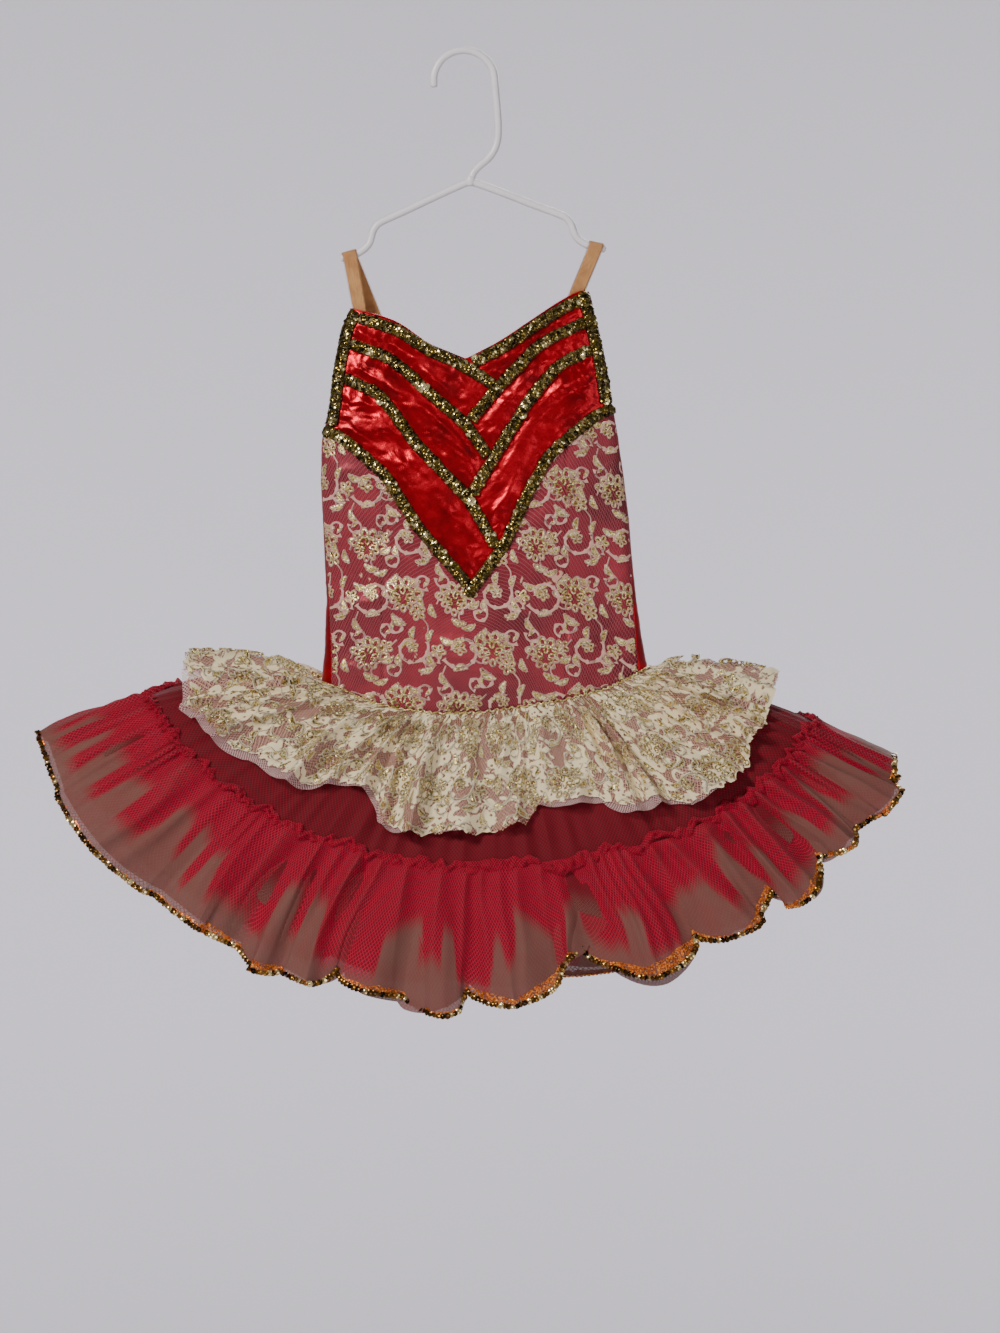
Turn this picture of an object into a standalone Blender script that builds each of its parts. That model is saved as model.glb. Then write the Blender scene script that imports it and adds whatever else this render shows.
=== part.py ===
"""A child's tutu dance costume, hung by its straps on a white plastic hanger.

Metres, +Z up, +X to the viewer's right, the front faces -Y. The origin is the
inner crown of the hanger's hook. Tables are in millimetres and degrees.
"""
import math
from collections import namedtuple

import bmesh
import bpy
import numpy as np

MM = 0.001

# Cloth and seams, in millimetres
WALL = 1.2
NET_WALL = 1.0
SEAM_GAP = 0.3
LINE_GAP = 0.5
ROUND_POWER = 0.7
FULL_TURN = 360.0
HALF_TURN = 180.0

# Steps of the small searches and differences below
PROBE = 2.0
SEARCH_ROUNDS = 40
EDGE_STEP = 0.1
SMALL = 1e-9

# The bodice: its outline and depth at a list of heights. The insets say how far
# in from the outline the side seams lie on the front.
Section = namedtuple("Section", "z left right front back inset_left inset_right")
SECTIONS = (
    Section(-640.0, -116.0, 150.0, 31.0, 28.0, 12.0, 12.0),
    Section(-570.0, -123.0, 160.0, 31.0, 28.0, 12.0, 12.0),
    Section(-540.0, -121.5, 159.5, 30.0, 27.0, 9.5, 10.5),
    Section(-507.0, -118.2, 153.0, 29.0, 25.0, 6.0, 7.0),
    Section(-464.0, -116.8, 146.2, 28.0, 23.0, 2.6, 3.0),
    Section(-430.0, -118.2, 142.8, 27.0, 22.0, 1.2, 1.2),
    Section(-396.0, -119.9, 140.1, 26.0, 21.0, 0.8, 0.8),
    Section(-362.0, -121.6, 136.0, 25.0, 20.0, 0.8, 0.8),
    Section(-328.0, -120.7, 131.3, 23.0, 18.0, 0.8, 0.8),
    Section(-307.0, -115.6, 127.9, 22.0, 17.0, 0.8, 0.8),
    Section(-269.0, -111.4, 122.4, 19.0, 15.0, 0.8, 0.8),
    Section(-235.0, -105.4, 115.5, 16.0, 13.0, 0.8, 0.8),
    Section(-217.0, -97.5, 111.0, 14.0, 12.0, 0.8, 0.8),
    Section(-200.0, -94.0, 107.0, 13.0, 11.0, 0.8, 0.8),
)

# Lines across the front, as seen from the front
Point = namedtuple("Point", "x z")
NECKLINE = (
    Point(-97.0, -216.0), Point(-58.7, -227.8), Point(-28.9, -247.4),
    Point(1.7, -260.0), Point(30.6, -245.0), Point(56.1, -228.0),
    Point(81.6, -211.0), Point(100.0, -202.0), Point(110.0, -206.5),
)
YOKE_LINE = (
    Point(-121.0, -318.0), Point(-101.2, -328.0), Point(-67.2, -358.0),
    Point(-37.4, -404.6), Point(6.8, -455.6), Point(34.9, -417.4),
    Point(56.1, -370.6), Point(73.1, -341.0), Point(107.1, -311.0),
    Point(129.0, -300.0),
)
HIP_LINE = (
    Point(-121.5, -536.0), Point(-101.0, -542.0), Point(-80.0, -551.0),
    Point(-54.0, -557.0), Point(-20.0, -560.0), Point(14.0, -559.0),
    Point(48.0, -554.0), Point(82.0, -549.0), Point(116.0, -541.0),
    Point(141.0, -530.0), Point(159.0, -521.0),
)
BACK_TOP = (
    Point(-118.0, -303.0), Point(-100.0, -307.0), Point(-66.0, -320.0),
    Point(-33.0, -328.0), Point(6.0, -331.0), Point(45.0, -327.0),
    Point(80.0, -318.0), Point(112.0, -305.0), Point(128.0, -300.0),
)
PRINCESS_LEFT = -68.9
PRINCESS_RIGHT = 85.9
TIP_X = 6.8
SIDE_SPAN = 8
CENTRE_SPAN = 7
BACK_SPAN = 30
YOKE_ROWS = 9
LACE_PANEL_ROWS = 9
BACK_ROWS = 10

# Sequin trims: flat braid, each laid on the front along its middle line
TRIM_WIDTH = 11.0
TRIM_EDGE = 1.1
TRIM_CROWN = 1.9
TRIM_LIFT = 0.8
TRIM_STEP = 8.0
TRIM_GAP = 0.5
EDGE_INSET = 1.5
ARMHOLE_TOP = -196.0
ARMHOLE_FOOT = -350.0
ARMHOLE_STATIONS = 20
Trim = namedtuple("Trim", "name path start end")
TRIMS = (
    Trim("neck_trim_left", (
        Point(-125.0, -214.0), Point(-97.0, -222.5), Point(-58.7, -234.5),
        Point(-28.9, -253.6), Point(-0.6, -265.6), Point(28.1, -284.0),
        Point(60.0, -310.0)), "armhole_left", "second_trim_right"),
    Trim("neck_trim_right", (
        Point(150.0, -190.0), Point(102.6, -207.9), Point(84.8, -216.4),
        Point(59.4, -233.0), Point(33.7, -250.3), Point(4.6, -265.5),
        Point(-22.0, -279.0)), "armhole_right", "neck_trim_left"),
    Trim("second_trim_left", (
        Point(-130.0, -237.0), Point(-105.4, -242.5), Point(-58.7, -261.8),
        Point(-28.9, -289.9), Point(1.7, -315.4), Point(23.8, -347.7),
        Point(40.0, -371.3)), "armhole_left", "third_trim_right"),
    Trim("second_trim_right", (
        Point(150.0, -206.0), Point(107.1, -226.1), Point(64.6, -247.4),
        Point(28.1, -285.6), Point(3.4, -315.4), Point(-22.0, -346.0)),
        "armhole_right", "second_trim_left"),
    Trim("third_trim_left", (
        Point(-140.0, -261.0), Point(-113.9, -270.3), Point(-71.4, -289.9),
        Point(-42.5, -329.8), Point(-11.9, -362.1), Point(2.6, -377.4),
        Point(21.3, -408.9), Point(38.0, -440.0)), "armhole_left", "fourth_trim_right"),
    Trim("third_trim_right", (
        Point(150.0, -232.0), Point(115.6, -247.4), Point(81.6, -264.4),
        Point(56.1, -294.1), Point(34.9, -328.1), Point(23.0, -348.5),
        Point(7.7, -373.2), Point(-14.0, -408.0)), "armhole_right", "third_trim_left"),
    Trim("fourth_trim_left", (
        Point(-140.0, -311.0), Point(-118.2, -319.6), Point(-101.2, -328.1),
        Point(-67.2, -357.9), Point(-37.4, -404.6), Point(6.8, -455.6),
        Point(30.0, -482.4)), "side_left", "fourth_trim_right"),
    Trim("fourth_trim_right", (
        Point(150.0, -290.0), Point(126.7, -301.0), Point(107.1, -311.1),
        Point(73.1, -340.9), Point(56.1, -370.6), Point(34.9, -417.4),
        Point(6.8, -455.6), Point(-20.0, -492.0)), "side_right", "yoke_tip"),
)

# Elastic straps: where each crosses the neck edge, the rod and the back's top edge
STRAP_WIDTH = 11.0
STRAP_WALL = 1.2
STRAP_LAP = 9.0
STRAP_ARC_STEPS = 8
Strap = namedtuple("Strap", "name neck_x neck_z rod_out back_x back_z")
STRAPS = (
    Strap("strap_left", -89.6, -216.5, -104.4, -34.0, -327.0),
    Strap("strap_right", 96.3, -203.5, 104.4, 44.0, -327.0),
)

# Hanger: one round rod, bent into the hook, the neck and the notched arms
ROD_RADIUS = 3.25
ROD_SIDES = 8
TIP_LENGTH = 0.7
TIP_SIZE = 0.55
HOOK_INNER = 22.75
HOOK_STEPS = 12
HOOK_START = 188.0
ARM_TILT = 2.0
NECK_FOOT = Point(5.5, -109.0)
HOOK_TAIL = (
    Point(27.2, -36.0), Point(28.4, -50.0), Point(29.0, -62.0), Point(28.4, -73.0),
    Point(25.5, -82.0), Point(20.0, -89.5), Point(13.5, -95.0), Point(8.0, -101.0),
)
ArmPoint = namedtuple("ArmPoint", "out down")
ARM = (
    ArmPoint(9.0, 2.6), ArmPoint(30.0, 11.2), ArmPoint(55.0, 22.0),
    ArmPoint(75.3, 30.3), ArmPoint(80.8, 33.8), ArmPoint(84.3, 38.8),
    ArmPoint(85.8, 43.8), ArmPoint(88.0, 49.3), ArmPoint(92.2, 53.6),
    ArmPoint(97.0, 56.6), ArmPoint(102.5, 58.6), ArmPoint(107.0, 59.7),
    ArmPoint(111.0, 60.6),
)

# The skirt: a fan that leaves the hip seam. Reach is measured from that seam.
HEM_REACH = 250.0
FAN_LEFT = 172.0
FAN_LEFT_DROOP = 20.0
FAN_RIGHT = 348.0
FAN_RIGHT_DROOP = 9.5
FRONT_SPREAD = 64.0
BACK_SPREAD = 48.0
BACK_LIFT_LEFT = 20.0
BACK_LIFT_RIGHT = 14.0
BACK_LIFT_SHARE = 0.14

# Folds: where each starts, the hem's reach there and at its crest, its depth
Fold = namedtuple("Fold", "turn valley crest depth")
RUFFLE_FOLDS = (
    Fold(166.0, 236.0, 242.0, 7.0), Fold(208.0, 252.0, 254.0, 18.0),
    Fold(232.0, 247.0, 247.0, 14.0), Fold(244.5, 245.0, 256.0, 10.0),
    Fold(250.5, 248.0, 249.0, 11.0), Fold(257.0, 231.0, 243.0, 11.0),
    Fold(263.3, 242.0, 254.0, 13.0), Fold(271.0, 233.0, 247.0, 15.0),
    Fold(280.4, 228.0, 214.0, 8.0), Fold(285.0, 203.0, 246.0, 17.0),
    Fold(297.8, 224.0, 242.0, 14.0), Fold(308.3, 222.0, 246.0, 13.0),
    Fold(318.0, 224.0, 238.0, 12.0), Fold(328.0, 230.0, 241.0, 15.0),
    Fold(344.0, 234.0, 222.0, 6.0), Fold(373.0, 232.0, 240.0, 14.0),
    Fold(388.0, 233.0, 241.0, 13.0), Fold(400.0, 230.0, 243.0, 14.0),
    Fold(413.0, 232.0, 240.0, 12.0), Fold(425.0, 234.0, 244.0, 15.0),
    Fold(439.0, 231.0, 242.0, 13.0), Fold(451.0, 233.0, 241.0, 14.0),
    Fold(464.0, 230.0, 243.0, 12.0), Fold(476.0, 232.0, 240.0, 15.0),
    Fold(489.0, 234.0, 243.0, 13.0), Fold(501.0, 231.0, 241.0, 14.0),
    Fold(514.0, 233.0, 242.0, 12.0),
)
LACE_FOLDS = (
    Fold(157.0, 106.0, 109.0, 21.0), Fold(203.0, 124.0, 117.0, 11.0),
    Fold(226.0, 104.0, 104.0, 12.0), Fold(242.0, 90.0, 82.0, 10.0),
    Fold(254.0, 99.0, 109.0, 11.0), Fold(264.0, 104.0, 105.0, 9.0),
    Fold(273.0, 103.0, 101.0, 10.0), Fold(282.0, 84.0, 86.0, 10.0),
    Fold(294.0, 88.0, 108.0, 12.0), Fold(308.0, 125.0, 130.0, 13.0),
    Fold(323.0, 129.0, 117.0, 13.0), Fold(339.0, 112.0, 106.0, 19.0),
    Fold(383.0, 106.0, 108.0, 12.0), Fold(400.0, 104.0, 107.0, 12.0),
    Fold(417.0, 105.0, 106.0, 11.0), Fold(433.0, 104.0, 108.0, 12.0),
    Fold(450.0, 105.0, 106.0, 11.0), Fold(467.0, 104.0, 108.0, 12.0),
    Fold(483.0, 105.0, 106.0, 11.0), Fold(500.0, 104.0, 107.0, 12.0),
)
Lining = namedtuple("Lining", "turn longer")
LINING_HEM = (
    Lining(0.0, 0.0), Lining(20.0, 2.0), Lining(170.0, 2.0), Lining(200.0, 6.0),
    Lining(215.0, 8.0), Lining(232.0, 8.0), Lining(245.0, 3.0), Lining(256.0, 4.0),
    Lining(263.0, 0.0), Lining(280.0, -2.0), Lining(288.0, 6.0), Lining(302.0, 8.0),
    Lining(309.0, 2.0), Lining(320.0, -3.0), Lining(360.0, 0.0),
)
Seam = namedtuple("Seam", "turn reach")
GATHER_SEAM = (
    Seam(0.0, 146.0), Seam(20.0, 138.0), Seam(90.0, 135.0), Seam(160.0, 138.0),
    Seam(180.0, 150.0), Seam(212.0, 146.0), Seam(232.0, 140.0), Seam(250.0, 131.0),
    Seam(290.0, 131.0), Seam(302.0, 143.0), Seam(335.0, 148.0), Seam(360.0, 146.0),
)
LAYER_GAP = 0.4
FOLD_START = 0.12
FOLD_EASE = 0.8
TIER_TOP = 0.6
TIER_ROWS = (0.0, 0.13, 0.55, 1.0)
RUFFLE_ROWS = (0.0, 0.06, 0.4, 0.7, 1.0)
HEADING_ROW = 1
HEADING_PUFF = 2.2
PETTICOAT_REACH = 194.0
PETTICOAT_TOP = 104.0
PETTICOAT_SHARE = 0.42
PETTICOAT_GAP = 0.9
PETTICOAT_ROWS = (0.0, 0.5, 1.0)
LACE_TOP = 1.0
LACE_ROWS = (0.0, 0.16, 0.55, 1.0)
LACE_OUT_TOP = 1.6
LACE_OUT = 3.4
LACE_OUT_REACH = 16.0
LINING_ROWS = (0.16, 0.55, 1.0)
RUFFLE_COLUMNS = 6
TIER_COLUMNS = 3
LACE_COLUMNS = 6
LOBE_POWER = 0.7
SLOPE_LIMIT = 0.5

# Finishes: colour, roughness, metallic
Finish = namedtuple("Finish", "colour roughness metallic")
SATIN = Finish((0.62, 0.012, 0.03), 0.32, 0.0)
LACE_ON_SATIN = Finish((0.55, 0.13, 0.1), 0.6, 0.0)
LACE = Finish((0.8, 0.68, 0.4), 0.7, 0.0)
PALE_NET = Finish((0.78, 0.6, 0.58), 0.8, 0.0)
SEQUIN = Finish((0.42, 0.3, 0.09), 0.25, 0.8)
ELASTIC = Finish((0.66, 0.4, 0.2), 0.75, 0.0)
TULLE = Finish((0.3, 0.002, 0.01), 0.85, 0.0)
SHEER_TULLE = Finish((0.22, 0.02, 0.02), 0.85, 0.0)
PLASTIC = Finish((0.85, 0.83, 0.84), 0.35, 0.0)


def clear_scene():
    """Remove whatever the new file holds."""
    for thing in list(bpy.data.objects):
        bpy.data.objects.remove(thing, do_unlink=True)


def make_finish(name, finish):
    """Make one plain material."""
    material = bpy.data.materials.new(name)
    material.use_nodes = True
    shader = material.node_tree.nodes["Principled BSDF"]
    shader.inputs["Base Color"].default_value = (*finish.colour, 1.0)
    shader.inputs["Roughness"].default_value = finish.roughness
    shader.inputs["Metallic"].default_value = finish.metallic
    material.diffuse_color = (*finish.colour, 1.0)
    return material


def column(table, field):
    """One column of a table as an array."""
    return np.array([getattr(row, field) for row in table], dtype=float)


def section_value(field, z):
    """A section's value at height z, in millimetres."""
    rows = sorted(SECTIONS, key=lambda row: row.z)
    return np.interp(z, column(rows, "z"), column(rows, field))


def line_height(line, x):
    """The height of a line across the front at x."""
    return np.interp(x, column(line, "x"), column(line, "z"))


def body_point(turn, z):
    """The bodice's outer surface at a turn (0 right, 90 back, 180 left, 270 front)."""
    left = section_value("left", z)
    right = section_value("right", z)
    angle = np.radians(turn)
    sine = np.sin(angle)
    depth = np.where(sine < 0.0, section_value("front", z), section_value("back", z))
    x = (left + right) / 2 + (right - left) / 2 * np.cos(angle)
    y = depth * np.sign(sine) * np.abs(sine) ** ROUND_POWER
    return np.stack(np.broadcast_arrays(x, y, z), axis=-1)


def body_normal(turn, z):
    """The outward normal of the bodice's surface."""
    across = body_point(turn + PROBE, z) - body_point(turn - PROBE, z)
    down = body_point(turn, z - PROBE) - body_point(turn, z + PROBE)
    normal = np.cross(down, across)
    return normal / np.linalg.norm(normal, axis=-1, keepdims=True)


def turn_of_front(x, z):
    """The turn at which the front passes x at height z."""
    left = section_value("left", z)
    right = section_value("right", z)
    share = np.clip((x - (left + right) / 2) / ((right - left) / 2), -0.9999, 0.9999)
    return FULL_TURN - np.degrees(np.arccos(share))


def side_seam(z, side):
    """The turn of the left or right side seam, which lies a little to the front."""
    inset = section_value("inset_" + side, z)
    half = (section_value("right", z) - section_value("left", z)) / 2
    swing = np.degrees(np.arccos(1.0 - inset / half))
    return HALF_TURN + swing if side == "left" else FULL_TURN - swing


def seam_shift(turn, z):
    """Half of the seam gap as a turn, at a place on the bodice."""
    step = PROBE / 4
    length = np.linalg.norm(body_point(turn + step, z) - body_point(turn - step, z), axis=-1)
    return SEAM_GAP * step / length


def grid_faces(rows, columns, ring):
    """Faces of a wall made of an outer grid, an inner grid and its rims.

    Both grids are split along the same diagonal, so that the wall stays even.
    """
    across = columns if ring else columns - 1
    inner = rows * columns
    faces = []
    for row in range(rows - 1):
        for col in range(across):
            after = (col + 1) % columns
            a = row * columns + col
            b = row * columns + after
            c = (row + 1) * columns + after
            d = (row + 1) * columns + col
            for one, two, three in ((a, b, c), (a, c, d)):
                faces.append((one, two, three))
                faces.append((inner + three, inner + two, inner + one))
    for row in (0, rows - 1):
        for col in range(across):
            a = row * columns + col
            b = row * columns + (col + 1) % columns
            faces.append((a, b, inner + b, inner + a))
    if not ring:
        for col in (0, columns - 1):
            for row in range(rows - 1):
                a = row * columns + col
                b = (row + 1) * columns + col
                faces.append((a, b, inner + b, inner + a))
    return faces


def add_body(name, points, faces, material, smooth=True):
    """Add one closed body from points in millimetres."""
    mesh = bpy.data.meshes.new(name)
    mesh.from_pydata((np.asarray(points) * MM).tolist(), [], faces)
    work = bmesh.new()
    work.from_mesh(mesh)
    bmesh.ops.recalc_face_normals(work, faces=work.faces)
    work.to_mesh(mesh)
    work.free()
    mesh.materials.append(material)
    for polygon in mesh.polygons:
        polygon.use_smooth = smooth
    body = bpy.data.objects.new(name, mesh)
    bpy.context.scene.collection.objects.link(body)
    return body


def add_wall(name, outer, inner, material, ring=False):
    """Add a wall between two grids of points."""
    rows, columns = outer.shape[:2]
    points = np.concatenate([outer.reshape(-1, 3), inner.reshape(-1, 3)])
    return add_body(name, points, grid_faces(rows, columns, ring), material)


def spread_columns(knots, spans):
    """Turns of the columns, spread evenly over the spans between the knots."""
    turns = []
    for index, count in enumerate(spans):
        first = knots[index]
        last = knots[index + 1]
        for col in range(count):
            turns.append(first + (last - first) * col / count)
    turns.append(knots[-1])
    return turns


def panel(name, knots, spans, lines, rows, material):
    """Add one panel of the bodice between two side edges and two lines across it."""
    columns = sum(spans) + 1
    down = np.linspace(0, 1, rows)[:, None] * np.ones(columns)
    z = np.full((rows, columns), -400.0)
    top, bottom = lines
    for _ in range(SEARCH_ROUNDS):
        by_height = [np.broadcast_to(knot(z), z.shape) for knot in knots]
        by_height[0] = by_height[0] + seam_shift(by_height[0], z)
        by_height[-1] = by_height[-1] - seam_shift(by_height[-1], z)
        all_turns = spread_columns(by_height, spans)
        turn = np.stack([all_turns[col][:, col] for col in range(columns)], axis=1)
        x = body_point(turn, z)[..., 0]
        z = (z + top(x) + (bottom(x) - top(x)) * down) / 2
    outer = body_point(turn, z)
    inner = outer - body_normal(turn, z) * WALL
    return add_wall(name, outer, inner, material)


def build_bodice(satin, lace_on_satin):
    """The yoke, the three front panels and the back."""
    def seam_left(z):
        return side_seam(z, "left")

    def seam_right(z):
        return side_seam(z, "right")

    def seam_right_behind(z):
        return side_seam(z, "right") - FULL_TURN

    def princess_left(z):
        return turn_of_front(PRINCESS_LEFT, z)

    def middle(z):
        return turn_of_front(TIP_X, z)

    def princess_right(z):
        return turn_of_front(PRINCESS_RIGHT, z)

    def neck(x):
        return line_height(NECKLINE, x)

    def yoke_end(x):
        return line_height(YOKE_LINE, x) + LINE_GAP / 2

    def lace_top(x):
        return line_height(YOKE_LINE, x) - LINE_GAP / 2

    def hip(x):
        return line_height(HIP_LINE, x)

    def back_top(x):
        return line_height(BACK_TOP, x)

    across = (seam_left, princess_left, middle, princess_right, seam_right)
    below = (lace_top, hip)
    spans = (SIDE_SPAN, CENTRE_SPAN, CENTRE_SPAN, SIDE_SPAN)
    panel("front_yoke", across, spans, (neck, yoke_end), YOKE_ROWS, satin)
    panel("front_side_left", across[:2], spans[:1], below, LACE_PANEL_ROWS, lace_on_satin)
    panel("front_centre", across[1:4], spans[1:3], below, LACE_PANEL_ROWS, lace_on_satin)
    panel("front_side_right", across[3:], spans[3:], below, LACE_PANEL_ROWS, lace_on_satin)
    panel("back", (seam_right_behind, seam_left), (BACK_SPAN,), (back_top, hip), BACK_ROWS, satin)


def resample(path, step):
    """Points along a path at even steps."""
    path = np.asarray(path, dtype=float)
    lengths = np.concatenate([[0.0], np.cumsum(np.linalg.norm(np.diff(path, axis=0), axis=1))])
    count = max(2, int(round(lengths[-1] / step)) + 1)
    along = np.linspace(0.0, lengths[-1], count)
    return np.stack([np.interp(along, lengths, path[:, axis]) for axis in range(path.shape[1])], axis=1)


def side_line(path, shift):
    """A path moved sideways, to the left of its direction when shift is positive."""
    path = np.asarray(path, dtype=float)
    along = np.gradient(path, axis=0)
    along /= np.linalg.norm(along, axis=1, keepdims=True)
    sideways = np.stack([-along[:, 1], along[:, 0]], axis=1)
    return path + sideways * shift


def crossing(path, barrier):
    """Where a path first crosses a barrier line: segment number and share along it."""
    for index in range(len(path) - 1):
        start = path[index]
        run = path[index + 1] - start
        for spot in range(len(barrier) - 1):
            corner = barrier[spot]
            wall = barrier[spot + 1] - corner
            area = run[0] * wall[1] - run[1] * wall[0]
            if abs(area) < SMALL:
                continue
            away = corner - start
            share = (away[0] * wall[1] - away[1] * wall[0]) / area
            other = (away[0] * run[1] - away[1] * run[0]) / area
            if 0.0 <= share <= 1.0 and 0.0 <= other <= 1.0:
                return index, share
    return None


def cut_before(path, barrier):
    """The part of a path that lies before a barrier."""
    found = crossing(path, barrier)
    if found is None:
        return path
    index, share = found
    end = path[index] + (path[index + 1] - path[index]) * share
    return np.concatenate([path[:index + 1], [end]])


def armhole_edge(side, inset):
    """A line on the front that follows a side edge, some way in along the cloth."""
    heights = np.linspace(ARMHOLE_TOP, ARMHOLE_FOOT, ARMHOLE_STATIONS)
    direction = 1.0 if side == "left" else -1.0
    turn = np.array(side_seam(heights, side))
    for index, z in enumerate(heights):
        left_over = inset
        here = body_point(turn[index], z)
        while left_over > 0.0:
            turn[index] += direction * EDGE_STEP
            after = body_point(turn[index], z)
            left_over -= np.linalg.norm(after - here)
            here = after
    return body_point(turn, heights)[:, [0, 2]]


def barrier_for(target):
    """The near edge of the piece at which a trim stops, with the seam gap."""
    kind, side = target.rsplit("_", 1)
    if kind == "armhole":
        return armhole_edge(side, EDGE_INSET + TRIM_WIDTH + TRIM_GAP)
    if kind == "side":
        return armhole_edge(side, EDGE_INSET)
    if target == "yoke_tip":
        left = next(row for row in TRIMS if row.name == "fourth_trim_left")
        return side_line(resample(left.path, TRIM_STEP), -TRIM_WIDTH / 2)
    trim = next(row for row in TRIMS if row.name == target)
    shift = TRIM_WIDTH / 2 + TRIM_GAP
    return side_line(resample(trim.path, TRIM_STEP), shift if side == "left" else -shift)


def lay_on_front(flat, lift):
    """Points on the front at x and z, moved out by a lift."""
    x = flat[..., 0]
    z = flat[..., 1]
    turn = turn_of_front(x, z)
    return body_point(turn, z) + body_normal(turn, z) * np.expand_dims(lift, -1)


def add_strip(name, edges, material):
    """Add one braid between two edge lines on the front, with a soft crown."""
    count = max(len(edge) for edge in edges)
    even = []
    for edge in edges:
        lengths = np.concatenate([[0.0], np.cumsum(np.linalg.norm(np.diff(edge, axis=0), axis=1))])
        along = np.linspace(0.0, lengths[-1], count)
        even.append(np.stack([np.interp(along, lengths, edge[:, axis]) for axis in (0, 1)], axis=1))
    flat = np.stack([even[0], (even[0] + even[1]) / 2, even[1]], axis=0)
    tops = np.array([TRIM_EDGE, TRIM_CROWN, TRIM_EDGE]).reshape(3, 1) + TRIM_LIFT
    tops = np.broadcast_to(tops, flat.shape[:2])
    outer = lay_on_front(flat, tops)
    inner = lay_on_front(flat, np.full(flat.shape[:2], TRIM_LIFT))
    add_wall(name, outer, inner, material)


def build_trims(material):
    """The sequin braids on the yoke and down its armholes."""
    for trim in TRIMS:
        path = resample(trim.path, TRIM_STEP)
        edges = []
        for shift in (TRIM_WIDTH / 2, -TRIM_WIDTH / 2):
            edge = side_line(path, shift)
            edge = cut_before(edge[::-1], barrier_for(trim.start))[::-1]
            edge = cut_before(edge, barrier_for(trim.end))
            edges.append(resample(edge, TRIM_STEP))
        add_strip(trim.name, edges, material)
    for side in ("left", "right"):
        stop = barrier_for("fourth_trim_" + side)
        edges = []
        for inset in (EDGE_INSET, EDGE_INSET + TRIM_WIDTH):
            edge = armhole_edge(side, inset)
            top = line_height(NECKLINE, edge[0, 0]) - EDGE_INSET
            start = np.array([np.interp(-top, -edge[:, 1], edge[:, 0]), top])
            edge = np.concatenate([[start], edge[edge[:, 1] < top - 1.0]])
            edges.append(resample(cut_before(edge, stop), TRIM_STEP))
        add_strip("armhole_trim_" + side, edges, material)


def arm_point(out):
    """The middle line of an arm, at a distance out from the neck's foot."""
    rows = (ArmPoint(0.0, 0.0),) + ARM
    down = np.interp(abs(out), column(rows, "out"), column(rows, "down"))
    tilt = math.radians(ARM_TILT)
    x = NECK_FOOT.x + out * math.cos(tilt) + down * math.sin(tilt)
    z = NECK_FOOT.z - down * math.cos(tilt) + out * math.sin(tilt)
    return np.array([x, 0.0, z])


def tube_rings(path, radius, sides):
    """Rings along a path that lies in the XZ plane, with rounded tips."""
    path = np.asarray(path, dtype=float)
    along = np.gradient(path, axis=0)
    along /= np.linalg.norm(along, axis=1, keepdims=True)
    tip = radius * TIP_LENGTH
    small = radius * TIP_SIZE
    stations = [(path[0] - along[0] * tip, along[0], small)]
    stations += [(spot, run, radius) for spot, run in zip(path, along)]
    stations.append((path[-1] + along[-1] * tip, along[-1], small))
    turns = np.arange(sides) * 2 * math.pi / sides
    rings = []
    for spot, run, size in stations:
        sideways = np.array([-run[2], 0.0, run[0]])
        ring = spot + size * (np.outer(np.cos(turns), sideways)
                              + np.outer(np.sin(turns), np.array([0.0, 1.0, 0.0])))
        rings.append(ring)
    return np.array(rings)


def add_tube(name, path, radius, sides, material):
    """Add a round rod along a path."""
    rings = tube_rings(path, radius, sides)
    count = len(rings)
    faces = []
    for row in range(count - 1):
        for col in range(sides):
            after = (col + 1) % sides
            faces.append((row * sides + col, row * sides + after,
                          (row + 1) * sides + after, (row + 1) * sides + col))
    faces.append(tuple(range(sides)))
    faces.append(tuple((count - 1) * sides + col for col in range(sides)))
    return add_body(name, rings.reshape(-1, 3), faces, material)


def build_hanger(material):
    """The plastic hanger: hook, neck and notched arms, fused into one body."""
    turns = np.radians(np.linspace(HOOK_START, 0.0, HOOK_STEPS + 1))
    radius = HOOK_INNER + ROD_RADIUS
    hook = [(radius * math.cos(turn), 0.0, -HOOK_INNER + radius * math.sin(turn)) for turn in turns]
    hook += [(row.x, 0.0, row.z) for row in HOOK_TAIL]
    hook.append((NECK_FOOT.x, 0.0, NECK_FOOT.z))
    outs = [-row.out for row in reversed(ARM)] + [0.0] + [row.out for row in ARM]
    hanger = add_tube("hanger", [arm_point(out) for out in outs], ROD_RADIUS, ROD_SIDES, material)
    stem = add_tube("hanger_stem", hook, ROD_RADIUS, ROD_SIDES, material)
    union = hanger.modifiers.new("fuse", "BOOLEAN")
    union.operation = "UNION"
    union.solver = "EXACT"
    union.object = stem
    bpy.context.view_layer.update()
    fused = bpy.data.meshes.new_from_object(
        hanger.evaluated_get(bpy.context.evaluated_depsgraph_get()))
    hanger.modifiers.clear()
    hanger.data = fused
    hanger.data.name = "hanger"
    bpy.data.objects.remove(stem, do_unlink=True)
    for polygon in hanger.data.polygons:
        polygon.use_smooth = True


def rod_slope(out):
    """Unit vectors along the rod and square to it, where a strap lies on it."""
    along = arm_point(out + PROBE) - arm_point(out - PROBE)
    along /= np.linalg.norm(along)
    return along, np.array([-along[2], 0.0, along[0]])


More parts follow.
